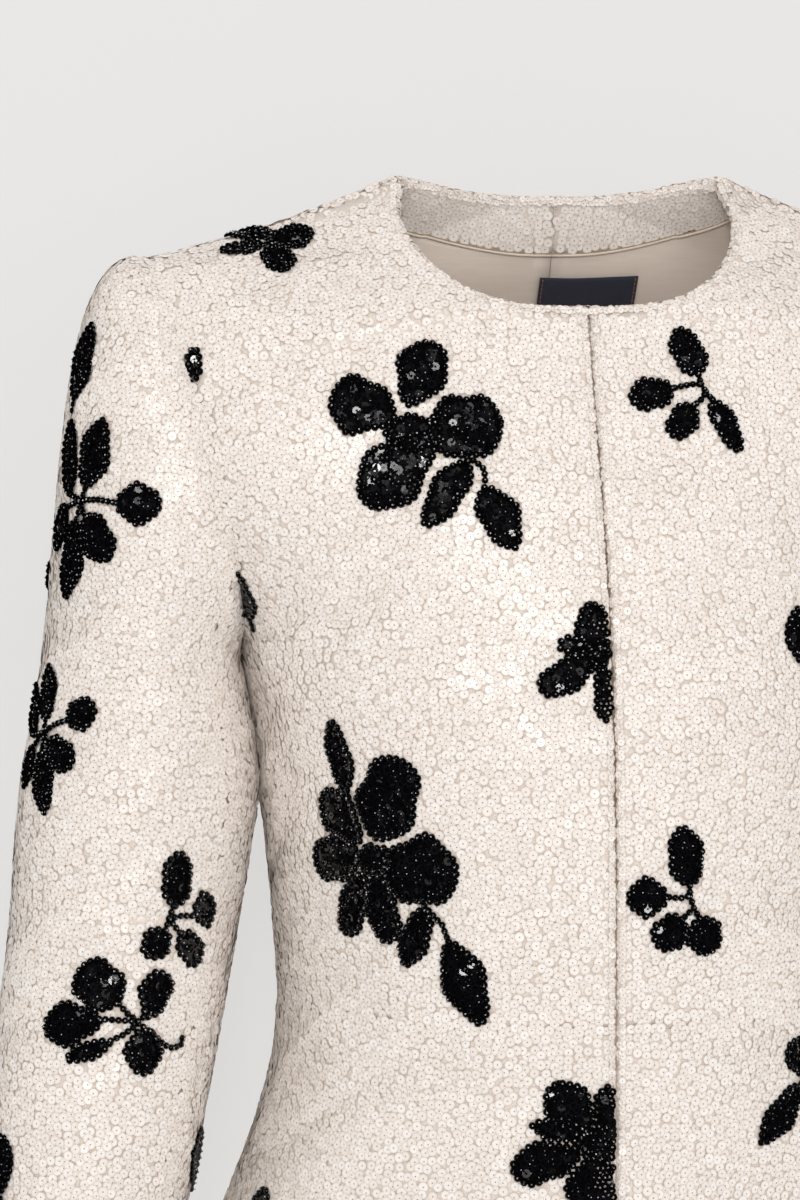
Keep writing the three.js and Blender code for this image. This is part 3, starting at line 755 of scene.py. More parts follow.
def dressLining(sideName, start, level):
    home = ("torso", sides[sideName])
    rest = np.concatenate([np.linspace(level[-1], armpitRow, 20)[1:], np.linspace(armpitRow, 1, 24)[1:]])
    starts = np.append(start, np.zeros(len(rest)))
    rows = np.append(level, rest)
    t = np.linspace(0, 1, 25)
    a = starts[:, None] + (1 - starts[:, None]) * t
    b = np.repeat(rows[:, None], len(t), 1)
    spots, out = facing(home, a.ravel(), b.ravel())
    spots[:, 0] = np.maximum(spots[:, 0], seamGap / 2)
    hidden = under(spots, out, insideDepth, a.shape)
    shown = under(spots, out, insideDepth + liningThickness, a.shape)
    drawIn(hidden, shown)
    shell = addShell(f"lining_back_{sideName}_satin", hidden, shown, home[1], home[1] < 0,
                     [finishes["satin"]])
    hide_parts(f"lining_back_{sideName}")


def ringOf(one, other, turn):
    return one[:, None] * np.cos(turn)[..., None] + other[:, None] * np.sin(turn)[..., None]


def addTube(name, paths, radius, material, sideCount=6):
    # thin round strands along lines of points, one mesh for all
    spots, faces = [], []
    turn = np.linspace(0, 2 * math.pi, sideCount, endpoint=False)
    for path in paths:
        run = unit(np.gradient(path, axis=0))
        one = unit(np.cross(run, (0.13, 0.37, 0.91)))  # any way that no strand runs
        ring = path[:, None] + radius * ringOf(one, np.cross(run, one), turn)
        base = sum(len(part) for part in spots)
        spots.append(ring.reshape(-1, 3))
        number = base + np.arange(len(path) * sideCount).reshape(len(path), sideCount)
        ahead = np.roll(number, -1, 1)
        faces += np.stack([number[:-1], ahead[:-1], ahead[1:], number[1:]], -1).reshape(-1, 4).tolist()
        faces += [number[0][::-1].tolist(), number[-1].tolist()]
    return addMesh(name, np.concatenate(spots), faces, [material])


bindings = []
for sideName in sides:
    low, ends = dressFacing(sideName)
    bindings.append(low)
    dressLining(sideName, *ends)
# a narrow tan binding holds the facing's lower edge, sewn down along its top
for name, shift, radius, finish in (("facing_binding", (0, -0.1, -0.75), 0.75, "satin"),
                                    ("facing_seam_thread", (0, -0.5, 0.15), 0.32, "tan")):
    strand = addTube(name, [line + shift for line in bindings], radius, finishes[finish])

labelTape = {"thickness": 0.9, "rows": 10, "columns": 24, "wave": 0.35, "clear": 0.5, "stitchIn": 1.4,
             "stitchLength": 1.7, "stitchStep": 2.5, "stitchSize": 0.22, "stitchRise": 0.12,
             "firstStitch": 0.8, "ripple": (7.5, 9)}


def dressLabel():
    low, high = (np.array(corner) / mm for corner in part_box("label"))
    x, z = np.meshgrid(np.linspace(low[0], high[0], labelTape["columns"] + 1),
                       np.linspace(high[2], low[2], labelTape["rows"] + 1))
    surface = surfaces["torso", 1]
    flatX, flatZ = x.ravel(), z.ravel()
    depth = np.interp(-flatZ, -centreBack["z"][::-1], centreBack["y"][::-1])
    a, b = settle(surface, spot(np.abs(flatX), depth, flatZ), np.abs(flatX) / halfBack,
                  np.full(flatX.shape, 0.3), 60)
    spots, out = facing(("torso", 1), a, b)
    spots[:, 0] *= np.sign(flatX)
    out[:, 0] *= np.sign(flatX)
    across, down = labelTape["ripple"]
    ripple = 1 + np.sin(flatX / across) * np.sin(flatZ / down + 1)
    lift = insideDepth + liningThickness + labelTape["clear"] + labelTape["wave"] * ripple
    hidden = under(spots, out, lift, x.shape)
    shown = under(spots, out, lift + labelTape["thickness"], x.shape)
    tape = addShell("label_tape", hidden, shown, 1, True, [finishes["tape"]])
    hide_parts("label")
    paths = []
    for end, way in ((0, 1), (labelTape["columns"], -1)):
        edge = shown[:, end] + unit(shown[:, end + way] - shown[:, end]) * labelTape["stitchIn"]
        run = runOf(edge)
        length = labelTape["stitchLength"]
        for start in np.arange(labelTape["firstStitch"], run[-1] - length, labelTape["stitchStep"]):
            stitch = sample(edge, run, np.linspace(start, start + length, 5))
            stitch[:, 1] -= labelTape["stitchRise"] * np.sin(np.linspace(0, math.pi, 5))
            paths.append(stitch)
    stitches = addTube("label_stitches", paths, labelTape["stitchSize"], finishes["rust"], 5)


dressLabel()
print("facing, lining and label made")


# Black flowers: petals and leaves by base, way, length and width in mm, from a stem's crossing

petalShape = {"petal": (0.72, 0.46), "leaf": (0.72, 0.8), "round": (0.56, 0.5)}
flowers = {
    "wide blossom": {
        "petals": [
            ("petal", -12, 7, 160, 33, 30), ("petal", -5, 13, 69, 35, 26), ("round", 5, 0, 8, 36, 34),
            ("petal", 6, -2, 225, 47, 31), ("leaf", 23, -15, 237, 39, 19),
            ("leaf", 31, -28, -64, 35, 21),
            ("round", -16, -1, 0, 28, 20)],
        "stems": [[(20, -12), (27, -15), (31, -19), (31.5, -27)]]},
    "long blossom": {
        "petals": [
            ("round", 1, 11, 71, 42, 34), ("round", 6, -3, -2, 38, 35), ("petal", -8, 9, 138, 33, 23),
            ("round", -9, 2, 190, 32, 25), ("petal", -6, -6, 247, 35, 19), ("petal", 0, -5, -78, 36, 20),
            ("leaf", -15, 33, 106, 36, 16), ("leaf", 27, -22, 247, 32, 17), ("leaf", 38, -37, -69, 44, 23),
            ("round", -9, 0, 0, 20, 18)],
        "stems": [[(-8, 12), (-12, 22), (-15, 33)], [(24, -18), (29, -23), (35, -29), (38, -37)]]},
    "upper sprig": {
        "petals": [
            ("leaf", 0, 8, 108, 27, 19), ("round", -14, 1, 194, 23, 18), ("round", -4, -8, 232, 21, 16),
            ("leaf", 6, -5, -66, 30, 14)],
        "stems": [[(0, 8), (1, 3), (-4, 3), (-9, 2), (-14, 1)], [(1, 3), (3, -1), (0, -5), (-4, -8)],
                  [(3, -1), (6, -5)]]},
    "lower sprig": {
        "petals": [
            ("leaf", -1, 8, 97, 30, 20), ("round", -13, 3, 180, 20, 20), ("round", -5, -8, 226, 19, 19),
            ("round", 4, -8, -74, 19, 20)],
        "stems": [[(-1, 8), (-1, 3), (-6, 2), (-13, 3)], [(-1, 3), (1, -3), (-5, -8)], [(1, -3), (4, -8)]]},
    "hanging sprig": {
        "petals": [
            ("leaf", 3, 6, 84, 28, 18), ("round", 14, 1, 14, 14, 19), ("round", 7, -8, -62, 19, 16),
            ("round", -2, -6, 230, 17, 16)],
        "stems": [[(2, 6), (0, 0), (7, 1), (14, 0)], [(0, 0), (6, -8)], [(0, 0), (-2, -7)]]},
    "sleeve blossom": {
        "petals": [
            ("round", -10, 9, 132, 26, 26), ("petal", -18, 1, 183, 30, 22), ("leaf", -14, -10, 197, 24, 11),
            ("petal", 5, 2, 70, 24, 18), ("round", 3, -4, -93, 23, 20)],
        "stems": [[(0, 0), (-5, 4), (-9, 9)], [(0, 0), (-10, 1), (-19, 2)], [(0, -1), (-7, -6), (-14, -9)],
                  [(0, 0), (4, 3)], [(0, -1), (7, -6), (13, -12), (18, -14), (23, -13), (24, -9)]]},
    "front blossom": {
        "petals": [
            ("round", -1, 1, 95, 25, 19), ("round", -5, 4, 176, 16, 11), ("petal", -1, -1, 210, 33, 18),
            ("petal", 2, -5, -82, 29, 17), ("round", 0, 0, 20, 24, 19), ("round", -4, -3, 0, 18, 15)],
        "stems": []},
    "low blossom": {
        "petals": [
            ("petal", -2, 5, 130, 31, 23), ("leaf", -4, 5, 172, 28, 14), ("petal", -7, -4, 196, 35, 21),
            ("round", 5, 0, 78, 31, 21), ("petal", 0, -5, -90, 34, 29), ("round", -8, 0, 0, 28, 22)],
        "stems": []},
    "shoulder sprig": {
        "petals": [
            ("round", -1, 0, 32, 24, 24), ("leaf", 0, -4, -64, 25, 19), ("leaf", -5, -2, 196, 24, 15),
            ("leaf", -6, 6, 150, 24, 15), ("leaf", -4, 12, 170, 26, 13)],
        "stems": [[(-1, 0), (-5, -2)], [(-1, 0), (-6, 6)], [(-2, 4), (-4, 12)]]},
    "side sprig": {
        "petals": [
            ("leaf", 3, 7, 78, 35, 23), ("round", 24, 0, 2, 23, 21), ("round", 4, -8, -48, 27, 21),
            ("leaf", -3, -10, -98, 40, 22), ("leaf", -13, 3, 100, 38, 20), ("leaf", -15, -4, 232, 27, 19)],
        "stems": [[(0, 0), (12, 1), (24, 0)], [(0, 0), (3, 7)], [(0, 0), (4, -9)], [(0, 0), (-3, -10)],
                  [(0, 0), (-13, 3)], [(0, 0), (-15, -4)]]},
    "edge blossom": {
        "petals": [
            ("leaf", -17, -14, 222, 37, 18), ("round", -3, 1, 178, 24, 21), ("petal", 2, 6, 80, 35, 27),
            ("petal", 6, -1, 2, 35, 30), ("petal", 2, -6, -76, 36, 25)],
        "stems": [[(-4, -3), (-11, -7), (-17, -14)]]},
    "leaf": {"petals": [("leaf", 0, 0, 90, 24, 15)], "stems": [[(0, 0), (0, -5)]]},
}

# Where each flower lies: the side, the surface, the nearest point of the left half in mm, the turn
# in degrees and the size.
gardens = [
    (-1, "torso", "wide blossom", (87.9, -89.2, -126.2), 0, 1.0),
    (-1, "torso", "long blossom", (110.2, -108.5, -327), 0, 1.0),
    (-1, "torso", "front blossom", (5.8, -130.9, -228.5), 0, 1.0),
    (-1, "torso", "low blossom", (12.9, -145.4, -460.2), 0, 1.0),
    (-1, "torso", "shoulder sprig", (147.4, -17.7, -37.8), 0, 0.95),
    (-1, "torso", "leaf", (198, -48, -104), 0, 0.8),
    (-1, "torso", "leaf", (167, -47, -224), -8, 1.25),
    (-1, "torso", "lower sprig", (160, -52, -534), -10, 1.0),
    (-1, "sleeve", "side sprig", (242, -39, -158.5), 0, 1.0),
    (-1, "sleeve", "leaf", (241, -18, -112), -4, 1.6),
    (-1, "sleeve", "side sprig", (261, -29, -277), 24, 0.82),
    (-1, "sleeve", "hanging sprig", (203.3, -68.4, -359.3), 0, 1.0),
    (-1, "sleeve", "sleeve blossom", (221.2, -75.9, -411.2), 0, 1.0),
    (-1, "sleeve", "wide blossom", (291, -36, -488), 20, 0.9),
    (-1, "sleeve", "leaf", (192, -45, -492), 0, 1.2),
    (1, "torso", "upper sprig", (51.8, -88.3, -110.5), 0, 1.0),
    (1, "torso", "lower sprig", (37, -141.3, -352.1), 0, 1.0),
    (1, "torso", "wide blossom", (125, -95, -240), 0, 1.0),
    (1, "torso", "edge blossom", (112, -112, -428), 0, 1.0),
    (1, "torso", "shoulder sprig", (150, -18, -38), 40, 1.0),
    (1, "torso", "low blossom", (60, -150, -560), 190, 0.9),
    (-1, "torso", "upper sprig", (84, -146, -556), 30, 1.0),
    (1, "sleeve", "wide blossom", (244, -34, -150), -30, 0.95),
    (1, "sleeve", "hanging sprig", (226, -70, -330), 20, 1.0),
    (1, "sleeve", "long blossom", (250, -62, -420), -12, 0.9),
    (1, "sleeve", "upper sprig", (232, -84, -510), 30, 1.0),
    (1, "sleeve", "sleeve blossom", (262, 20, -300), 60, 1.0),
    (1, "torso", "wide blossom", (70, 72, -130), 20, 1.0),
    (1, "torso", "long blossom", (60, 88, -290), 160, 1.0),
    (1, "torso", "lower sprig", (120, 52, -400), 30, 1.0),
    (1, "torso", "low blossom", (70, 112, -520), 10, 1.0),
    (-1, "torso", "long blossom", (82, 70, -175), -30, 1.0),
    (-1, "torso", "upper sprig", (40, 56, -90), 60, 1.0),
    (-1, "torso", "wide blossom", (96, 72, -370), 60, 1.0),
    (-1, "torso", "hanging sprig", (36, 88, -260), 10, 1.0),
    (-1, "torso", "sleeve blossom", (150, 60, -530), 30, 1.0),
    (-1, "torso", "leaf", (60, 100, -480), 120, 1.3),
    (1, "torso", "leaf", (130, 40, -210), 60, 1.3),
    (1, "sleeve", "long blossom", (240, 46, -196), -28, 0.85),
    (1, "sleeve", "wide blossom", (244, 30, -460), 200, 0.9),
    (-1, "sleeve", "wide blossom", (222, 58, -220), 70, 0.9),
    (-1, "sleeve", "hanging sprig", (240, 50, -350), 0, 1.0),
    (-1, "sleeve", "long blossom", (250, 18, -450), 190, 0.85),
]

jetWork = {"sequin": 4.2, "sequinStep": 2.6, "sizes": (0.94, 1.06), "tilt": 18, "scatter": 0.35,
           "lift": 0.8, "lifts": (-0.25, 0.45), "least": 1.2, "clear": 2.2,
           "bead": 3.9, "beadStep": 3.55, "stemBead": 3.6, "stemStep": 3.1,
           "beadLift": 1.0, "beadClear": 2.0, "groundLift": 0.3, "waver": 0.13, "rowShare": 0.87,
           "seed": 0.9, "seedShare": 0.4, "smallSeed": 0.85, "seedSunk": 0.1, "seedUp": 0.42,
           "seedScatter": 0.22}


def spinBy(degrees):
    turn = math.radians(degrees)
    return np.array([[math.cos(turn), math.sin(turn)], [-math.sin(turn), math.cos(turn)]])


def petalOutline(kind, length, width, shift, count=60):
    # sizes are over the rim beads, so the line of their middles lies inside; the two sides waver apart
    rise, fall = petalShape[kind]
    t = 0.5 - 0.5 * np.cos(np.linspace(0, math.pi, count))
    half = t ** rise * (1 - t) ** fall
    half *= (width - jetWork["bead"]) / 2 / half.max()
    upper = half * (1 + jetWork["waver"] * np.sin(11 * t + shift))
    lower = half * (1 + jetWork["waver"] * np.sin(9.5 * t + 2 - 1.7 * shift))
    return t * (length - jetWork["bead"] / 2), upper, lower


def petalParts(kind, x, y, turn, length, width):
    # bead places round the rim, sequin places inside and a ground patch, in the flower's own plane
    along, upper, lower = petalOutline(kind, length, width, 0.9 * x + 1.3 * y + 0.02 * turn)
    rim = np.concatenate([np.stack([along, upper], 1), np.stack([along, -lower], 1)[-2:0:-1]])
    closed = np.vstack([rim, rim[:1]])
    run = runOf(closed)
    count = max(6, int(run[-1] / jetWork["beadStep"]))
    beads = sample(closed, run, np.linspace(0, run[-1], count, endpoint=False))
    step = jetWork["sequinStep"]
    inner = []
    for number, row in enumerate(np.arange(0, length, step * jetWork["rowShare"])):
        top, bottom = (np.interp(row, along, edge) - jetWork["bead"] / 2 for edge in (upper, lower))
        if top + bottom <= -jetWork["least"]:
            continue
        reach = max((top + bottom) / 2, 0)
        columns = np.arange(-reach, reach + 0.1, step) if reach > step / 2 else np.zeros(1)
        columns = columns - columns.mean() + (step / 4 if number % 2 else -step / 4) * (len(columns) > 2)
        columns = columns + (top - bottom) / 2
        inner += [(row, column) for column in columns]
    inner = np.array(inner) + dice.normal(0, jetWork["scatter"], (len(inner), 2))
    pick = np.linspace(0, len(along) - 1, 12).astype(int)
    across = np.stack([upper[pick], (upper[pick] - lower[pick]) / 2, -lower[pick]], 1)
    patch = np.stack([np.repeat(along[pick], 3), across.ravel()], 1)
    return [part @ spinBy(turn) + (x, y) for part in (beads, inner, patch)]


def carry(home, a, b, offsets, steps=8):
    # walks each offset, right and up in mm as seen from outside, over the surface from one place
    surface, count = surfaces[home], len(offsets)
    a, b = np.full(count, a), np.full(count, b)
    _, out = facing(home, a[:1], b[:1])
    up = unit(np.array([[0.0, 0.0, 1.0]]) - out * out[:, 2:])
    right = np.cross(up, out)
    way = offsets[:, :1] * home[1] * right + offsets[:, 1:] * up
    far = np.linalg.norm(way, axis=1)
    way = unit(way)
    want = surface(a, b)
    for step in range(steps + 3):  # the last rounds only take up what the others missed
        alongA, alongB = slopes(surface, a, b)
        out = unit(np.cross(alongA, alongB))
        way = unit(way - out * dot(way, out)[:, None])
        here = surface(a, b)
        miss = want - here
        miss = miss - out * dot(miss, out)[:, None]
        if step < steps:
            miss = miss + way * (far / steps)[:, None]
        want = here + miss
        stepA, stepB = leastSquares(alongA, alongB, miss)
        a, b = a + stepA, b + stepB
    return a, b


# where the first look for a flower's place goes: ranges and counts over each surface
searchGrids = {"torso": ((0.02, 1, 50), (-1.98, 1.98, 160)), "sleeve": ((-3.1, 3.1, 90), (0.02, 1.98, 110))}


def startPlace(home, target):
    a, b = np.meshgrid(*(np.linspace(*row) for row in searchGrids[home[0]]))
    best = np.linalg.norm(surfaces[home](a, b) - target, axis=-1).argmin()
    return a.ravel()[best], b.ravel()[best]


def onCloth(home, a, b):
    # which flower places lie on the cloth, then their points and outward directions
    spots, out = facing(home, a, b)
    if home[0] == "sleeve":
        return (b > 0.02) & (b < 1.995), spots, out
    overGap = (b < -neckRow) & (spots[:, 0] < 2.0)
    return (a > 0) & (a < 1) & (np.abs(b) < 2) & ~overGap, spots, out


jetPoints = {"bead": [], "stemBead": [], "sequin": []}
jetPatches = []
for side, kind, flower, target, turn, size in gardens:
    home = (kind, side)
    start = startPlace(home, np.array(target, float))
    spin = spinBy(turn)
    gathered = {"bead": [], "stemBead": [], "sequin": []}
    for petal, x, y, way, length, width in flowers[flower]["petals"]:
        beads, inner, patch = petalParts(petal, x * size, y * size, way, length * size, width * size)
        gathered["bead"].append(beads)
        gathered["sequin"].append(inner)
        good, spots, out = onCloth(home, *carry(home, *start, patch @ spin))
        jetPatches.append((home, good, spots + out * jetWork["groundLift"]))
    for stem in flowers[flower]["stems"]:
        stem = size * np.array(stem, float)
        run = runOf(stem)
        gathered["stemBead"].append(sample(stem, run, np.arange(0, run[-1] + 0.1, jetWork["stemStep"])))
    for part, lists in gathered.items():
        if lists:
            good, spots, out = onCloth(home, *carry(home, *start, np.concatenate(lists) @ spin))
            jetPoints[part].append((home, spots[good], out[good]))
print("flowers laid out:", len(gardens))


# Discs and beads as joined meshes

def axesOf(out):
    # two directions square to each one and to each other
    one = unit(np.cross(out, (0.31, 0.17, 0.94)))
    return one, np.cross(out, one)


def addMany(name, spots, starts, loops, material, maps, rounded):
    mesh = bpy.data.meshes.new(name)
    mesh.vertices.add(spots.size // 3)
    mesh.vertices.foreach_set("co", (spots * mm).astype(np.float32).ravel())
    mesh.loops.add(loops.size)
    mesh.loops.foreach_set("vertex_index", loops.astype(np.int32).ravel())
    mesh.polygons.add(len(starts))
    mesh.polygons.foreach_set("loop_start", starts.astype(np.int32))
    for mapName in ("discMap", "OFBake"):
        layer = mesh.uv_layers.new(name=mapName, do_init=False)
        layer.data.foreach_set("uv", maps.astype(np.float32).ravel())
    mesh.polygons.foreach_set("use_smooth", np.full(len(starts), rounded))
    mesh.materials.append(material)
    mesh.update(calc_edges=True)
    mesh.validate()
    return placeMesh(name, mesh)


def cellMap(count, flat):
    # puts each copy of a flat outline, within 1 of the middle, into a cell of the disc map
    cell = dice.integers(0, discAtlas["across"] ** 2, count)
    corner = np.stack([cell % discAtlas["across"], cell // discAtlas["across"]], 1)
    return (corner[:, None] + 0.5 + discAtlas["fill"] * flat[None]) / discAtlas["across"]


discSides = 8


def addDiscs(name, spots, out, size, material, hole=0):
    # flat round discs about their middles, with an open stitch hole where one is asked for
    count = len(spots)
    one, other = axesOf(out)
    turn = dice.uniform(0, 2 * math.pi, count)[:, None]
    turn = turn + np.linspace(0, 2 * math.pi, discSides, endpoint=False)
    corners = spots[:, None] + np.asarray(size).reshape(-1, 1, 1) / 2 * ringOf(one, other, turn)
    flat = np.stack([np.cos(turn[0] - turn[0, 0]), np.sin(turn[0] - turn[0, 0])], 1)
    pattern = np.arange(discSides)
    if hole:
        corners = np.concatenate([corners, spots[:, None] + hole * (corners - spots[:, None])], 1)
        flat = np.concatenate([flat, hole * flat])
        ahead = (pattern + 1) % discSides
        pattern = np.stack([pattern, ahead, ahead + discSides, pattern + discSides], 1).ravel()
    loops = corners.shape[1] * np.arange(count)[:, None] + pattern
    starts = np.arange(0, loops.size, 4 if hole else discSides)
    return addMany(name, corners, starts, loops, material, cellMap(count, flat[pattern]), False)


domeRing = {"across": 0.76, "up": 0.6, "top": 0.9}  # as shares of a bead's radius


def addBeads(name, groups, material):
    # domes of two rings and a top; groups are (spots, directions, diameter, sides)
    spots, loops, sizes, maps = [], [], [], []
    base = 0
    for at, out, size, sideCount in groups:
        turn = np.linspace(0, 2 * math.pi, sideCount, endpoint=False)
        ring = ringOf(*axesOf(out), turn)
        radius = size / 2
        low = at[:, None] + ring * radius
        mid = at[:, None] + ring * radius * domeRing["across"] + out[:, None] * radius * domeRing["up"]
        top = at[:, None] + out[:, None] * radius * domeRing["top"]
        dome = np.concatenate([low, mid, top], 1)
        k = np.arange(sideCount)
        ahead = (k + 1) % sideCount
        quads = np.stack([k, ahead, ahead + sideCount, k + sideCount], 1)
        tops = np.stack([k + sideCount, ahead + sideCount, np.full(sideCount, 2 * sideCount)], 1)
        circle = np.stack([np.cos(turn), np.sin(turn)], 1)
        flat = np.concatenate([circle, domeRing["up"] * circle, [[0, 0]]])
        pattern = np.concatenate([quads.ravel(), tops.ravel()])
        firsts = base + np.arange(len(at)) * (2 * sideCount + 1)
        loops.append((firsts[:, None] + pattern).ravel())
        sizes.append(np.tile(np.array([4] * sideCount + [3] * sideCount), len(at)))
        maps.append(cellMap(len(at), flat[pattern]).reshape(-1, 2))
        spots.append(dome.reshape(-1, 3))
        base += dome.shape[0] * dome.shape[1]
    starts = np.append(0, np.cumsum(np.concatenate(sizes))[:-1])
    return addMany(name, np.concatenate(spots), starts, np.concatenate(loops), material,
                   np.concatenate(maps), True)


def lean(out, degrees, way):
    # tips directions by some degrees towards a way
    flat = unit(way - out * dot(way, out)[:, None])
    tilt = np.radians(degrees)[:, None]
    return out * np.cos(tilt) + flat * np.sin(tilt)


jetTree = {home: [] for home in surfaces}
for home in (("torso", -1), ("torso", 1), ("sleeve", -1), ("sleeve", 1)):
    side = home[1]
    homeName = f"{home[0]}_{'left' if side > 0 else 'right'}"
    picked = {part: [np.concatenate([entry[k] for entry in entries if entry[0] == home]) for k in (1, 2)]
              for part, entries in jetPoints.items()}
    spots, out = picked["sequin"]
    count = len(spots)
    tilt = np.abs(dice.normal(0, jetWork["tilt"], count))
    faceOut = lean(out, tilt, dice.normal(0, 1, (count, 3)))
    raised = spots + out * (jetWork["lift"] + dice.uniform(*jetWork["lifts"], count))[:, None]
    discs = addDiscs(f"jet_sequins_{homeName}", mirrored(raised, side), mirrored(faceOut, side),
                     jetWork["sequin"] * dice.uniform(*jetWork["sizes"], count), finishes["jetSequin"], 0.3)
    seeded = dice.random(count) < jetWork["seedShare"]
    sunk = raised[seeded] - faceOut[seeded] * jetWork["seedSunk"]
    seeds = [(mirrored(sunk, side), mirrored(faceOut[seeded], side),
              jetWork["seed"] * jetWork["smallSeed"], 4)]
    groups = []
    for part, sideCount in (("bead", 8), ("stemBead", 7)):
        at, way = picked[part]
        middle, size = at + way * jetWork["beadLift"], jetWork[part]
        groups.append((mirrored(middle, side), mirrored(way, side), size, sideCount))
        onTop = at + way * (jetWork["beadLift"] + jetWork["seedUp"] * size)
        onTop = onTop + dice.normal(0, jetWork["seedScatter"], at.shape)
        seeds.append((mirrored(onTop, side), mirrored(way, side), jetWork["seed"], 4))
        jetTree[home].append((at, jetWork["beadClear"]))
    jetTree[home].append((spots, jetWork["clear"]))
    beads = addBeads(f"jet_beads_{homeName}", groups, finishes["jetBead"])
    stoppers = addBeads(f"painted_glint_seeds_{homeName}", seeds, finishes["paintedGlintSeed"])
    patchSpots, patchFaces, base = [], [], 0
    for patchHome, good, points in jetPatches:
        if patchHome != home:
            continue
        quads = quadsOf((len(points) // 3, 3))
        patchSpots.append(points)
        patchFaces += (quads[good[quads].all(1)] + base).tolist()
        base += len(points)
    ground = addMesh(f"jet_ground_{homeName}", mirrored(np.concatenate(patchSpots), side), patchFaces,
                     [finishes["jetBead"]])
print("flowers made")


# Ivory sequins all over, sown evenly on each panel's outer face and left out under the flowers

ivory = {"size": 5.2, "sizes": (0.93, 1.05), "apart": 2.85, "innerApart": 2.6, "crowd": 4.5,
         "tilt": (2, 8.5), "lift": (0.25, 0.7), "swirl": 34, "scatter": 0.45,
         "rollSize": 3.7, "rollSizes": (0.92, 1.08), "rollStep": 2.4, "rollLift": 0.3,
         "rollLifts": (0.4, 2.6), "rollWaver": 0.22, "rollTurn": 5, "rollTilt": (3, 20),
         "steepest": 0.98, "offEdge": 1.15, "edgeReach": (1, 7), "edgeTilt": 0.35, "edgeSize": 0.6}


def sow(name, home, grid, apart, seed):
    # even scatter over a part of a surface by Geometry Nodes, read back as points and directions
    a, b = (values.ravel() for values in grid)
    mesh = bpy.data.meshes.new(name)
    mesh.from_pydata(facing(home, a, b)[0].tolist(), [], quadsOf(grid[0].shape).tolist())
    layer = mesh.attributes.new("place", "FLOAT2", "POINT")
    layer.data.foreach_set("vector", np.stack([a, b], 1).astype(np.float32).ravel())
    field = bpy.data.objects.new(name, mesh)
    scene.collection.objects.link(field)
    tree = bpy.data.node_groups.new(name, "GeometryNodeTree")
    tree.interface.new_socket("Geometry", in_out="INPUT", socket_type="NodeSocketGeometry")
    tree.interface.new_socket("Geometry", in_out="OUTPUT", socket_type="NodeSocketGeometry")
    start = addNode(tree, "NodeGroupInput")
    sown = addNode(tree, "GeometryNodeDistributePointsOnFaces", {
        "distribute_method": "POISSON", "Distance Min": apart,
        "Density Max": ivory["crowd"] / apart ** 2, "Seed": seed}, {"Mesh": start.outputs[0]})
    points = addNode(tree, "GeometryNodePointsToVertices", None, {"Points": sown.outputs["Points"]})
    addNode(tree, "NodeGroupOutput", None, {0: points.outputs[0]})
    field.modifiers.new("sow", "NODES").node_group = tree
    shown = field.evaluated_get(bpy.context.evaluated_depsgraph_get())
    result = shown.to_mesh()
    found = np.zeros(len(result.vertices) * 2, np.float32)
    result.attributes["place"].data.foreach_get("vector", found)
    shown.to_mesh_clear()
    bpy.data.objects.remove(field)
    return facing(home, *found.reshape(-1, 2).astype(float).T)


def swirl(spots):
    # a slowly turning way over the cloth, so that neighbours lap alike
    x, y, z = (spots / ivory["swirl"]).T
    angle = 2.2 * np.sin(x + 1.7 * z + 0.6) + 1.9 * np.sin(1.3 * z - 0.8 * x + 2 * y)
    angle = angle + 1.1 * np.sin(2.6 * x + 1.9 * z + y)
    return spot(np.cos(angle), 0.4 * np.sin(angle * 1.7), np.sin(angle) - 0.8)


def flowerTree(home):
    # every flower place on a surface, how far each keeps the ivory sequins off, and their box
    at = np.concatenate([points for points, _ in jetTree[home]])
    reach = np.concatenate([np.full(len(points), radius) for points, radius in jetTree[home]])
    tree = KDTree(len(at))
    for number, point in enumerate(at):
        tree.insert(point, number)
    tree.balance()
    return tree, reach, at.min(0) - 3, at.max(0) + 3


flowerTrees = {home: flowerTree(home) for home in surfaces}


def clearOfFlowers(home, spots):
    tree, reach, low, high = flowerTrees[home]
    keep = np.ones(len(spots), bool)
    for number in np.flatnonzero(((spots > low) & (spots < high)).all(1)):
        _, index, gap = tree.find(spots[number])
        keep[number] = gap > reach[index]
    return keep


full = np.linspace(0, 1, 600)
allRound = (14, 66, 112)
underSpan = 2 * math.pi + frontSeamTurn - backSeamTurn
rolls = {
    # edge: surface, places, the way in, roll radius, angles round the roll from the outer face
    "neckFront": (("torso", 0, -neckRow * full, (1, 0)), 2.6, (-16, 12, 52, 92, 132, 168)),
    "neckBack": (("torso", 0, neckRow * full, (1, 0)), 2.5, (-16, 12, 52, 92, 132, 168)),
    "centreFront": (("torso", 0, -neckRow - 0.006 - (1 - neckRow) * full, (1, 0)), 1.8, (14, 62)),
    "centrePeplum": (("torso", 0, -1 - full, (1, 0)), 1.8, (14, 62)),
    "hemFront": (("torso", full, -2, (0, 1)), 1.8, allRound),
    "hemBack": (("torso", full, 2, (0, -1)), 1.8, allRound),
    "cuffUpper": (("sleeve", frontSeamTurn + (backSeamTurn - frontSeamTurn) * full, 2, (0, -1)),
                  1.8, allRound),
    "cuffUnder": (("sleeve", backSeamTurn + underSpan * full, 2, (0, -1)), 1.8, allRound),
}
panelRolls = {"front": ("neckFront", "centreFront"), "back": ("neckBack",),
              "peplum_front": ("centrePeplum", "hemFront"), "peplum_back": ("hemBack",),
              "sleeve_upper": ("cuffUpper",), "sleeve_under": ("cuffUnder",)}

# The neck's turned edge is fuller at the shoulder seams, where its layers meet: how far along, how
# much thicker, and how far it stands into the neck.
neckCorner = {"reach": 15, "thicker": 1.2, "inward": 1.6, "sides": 12, "sunk": 0.15}


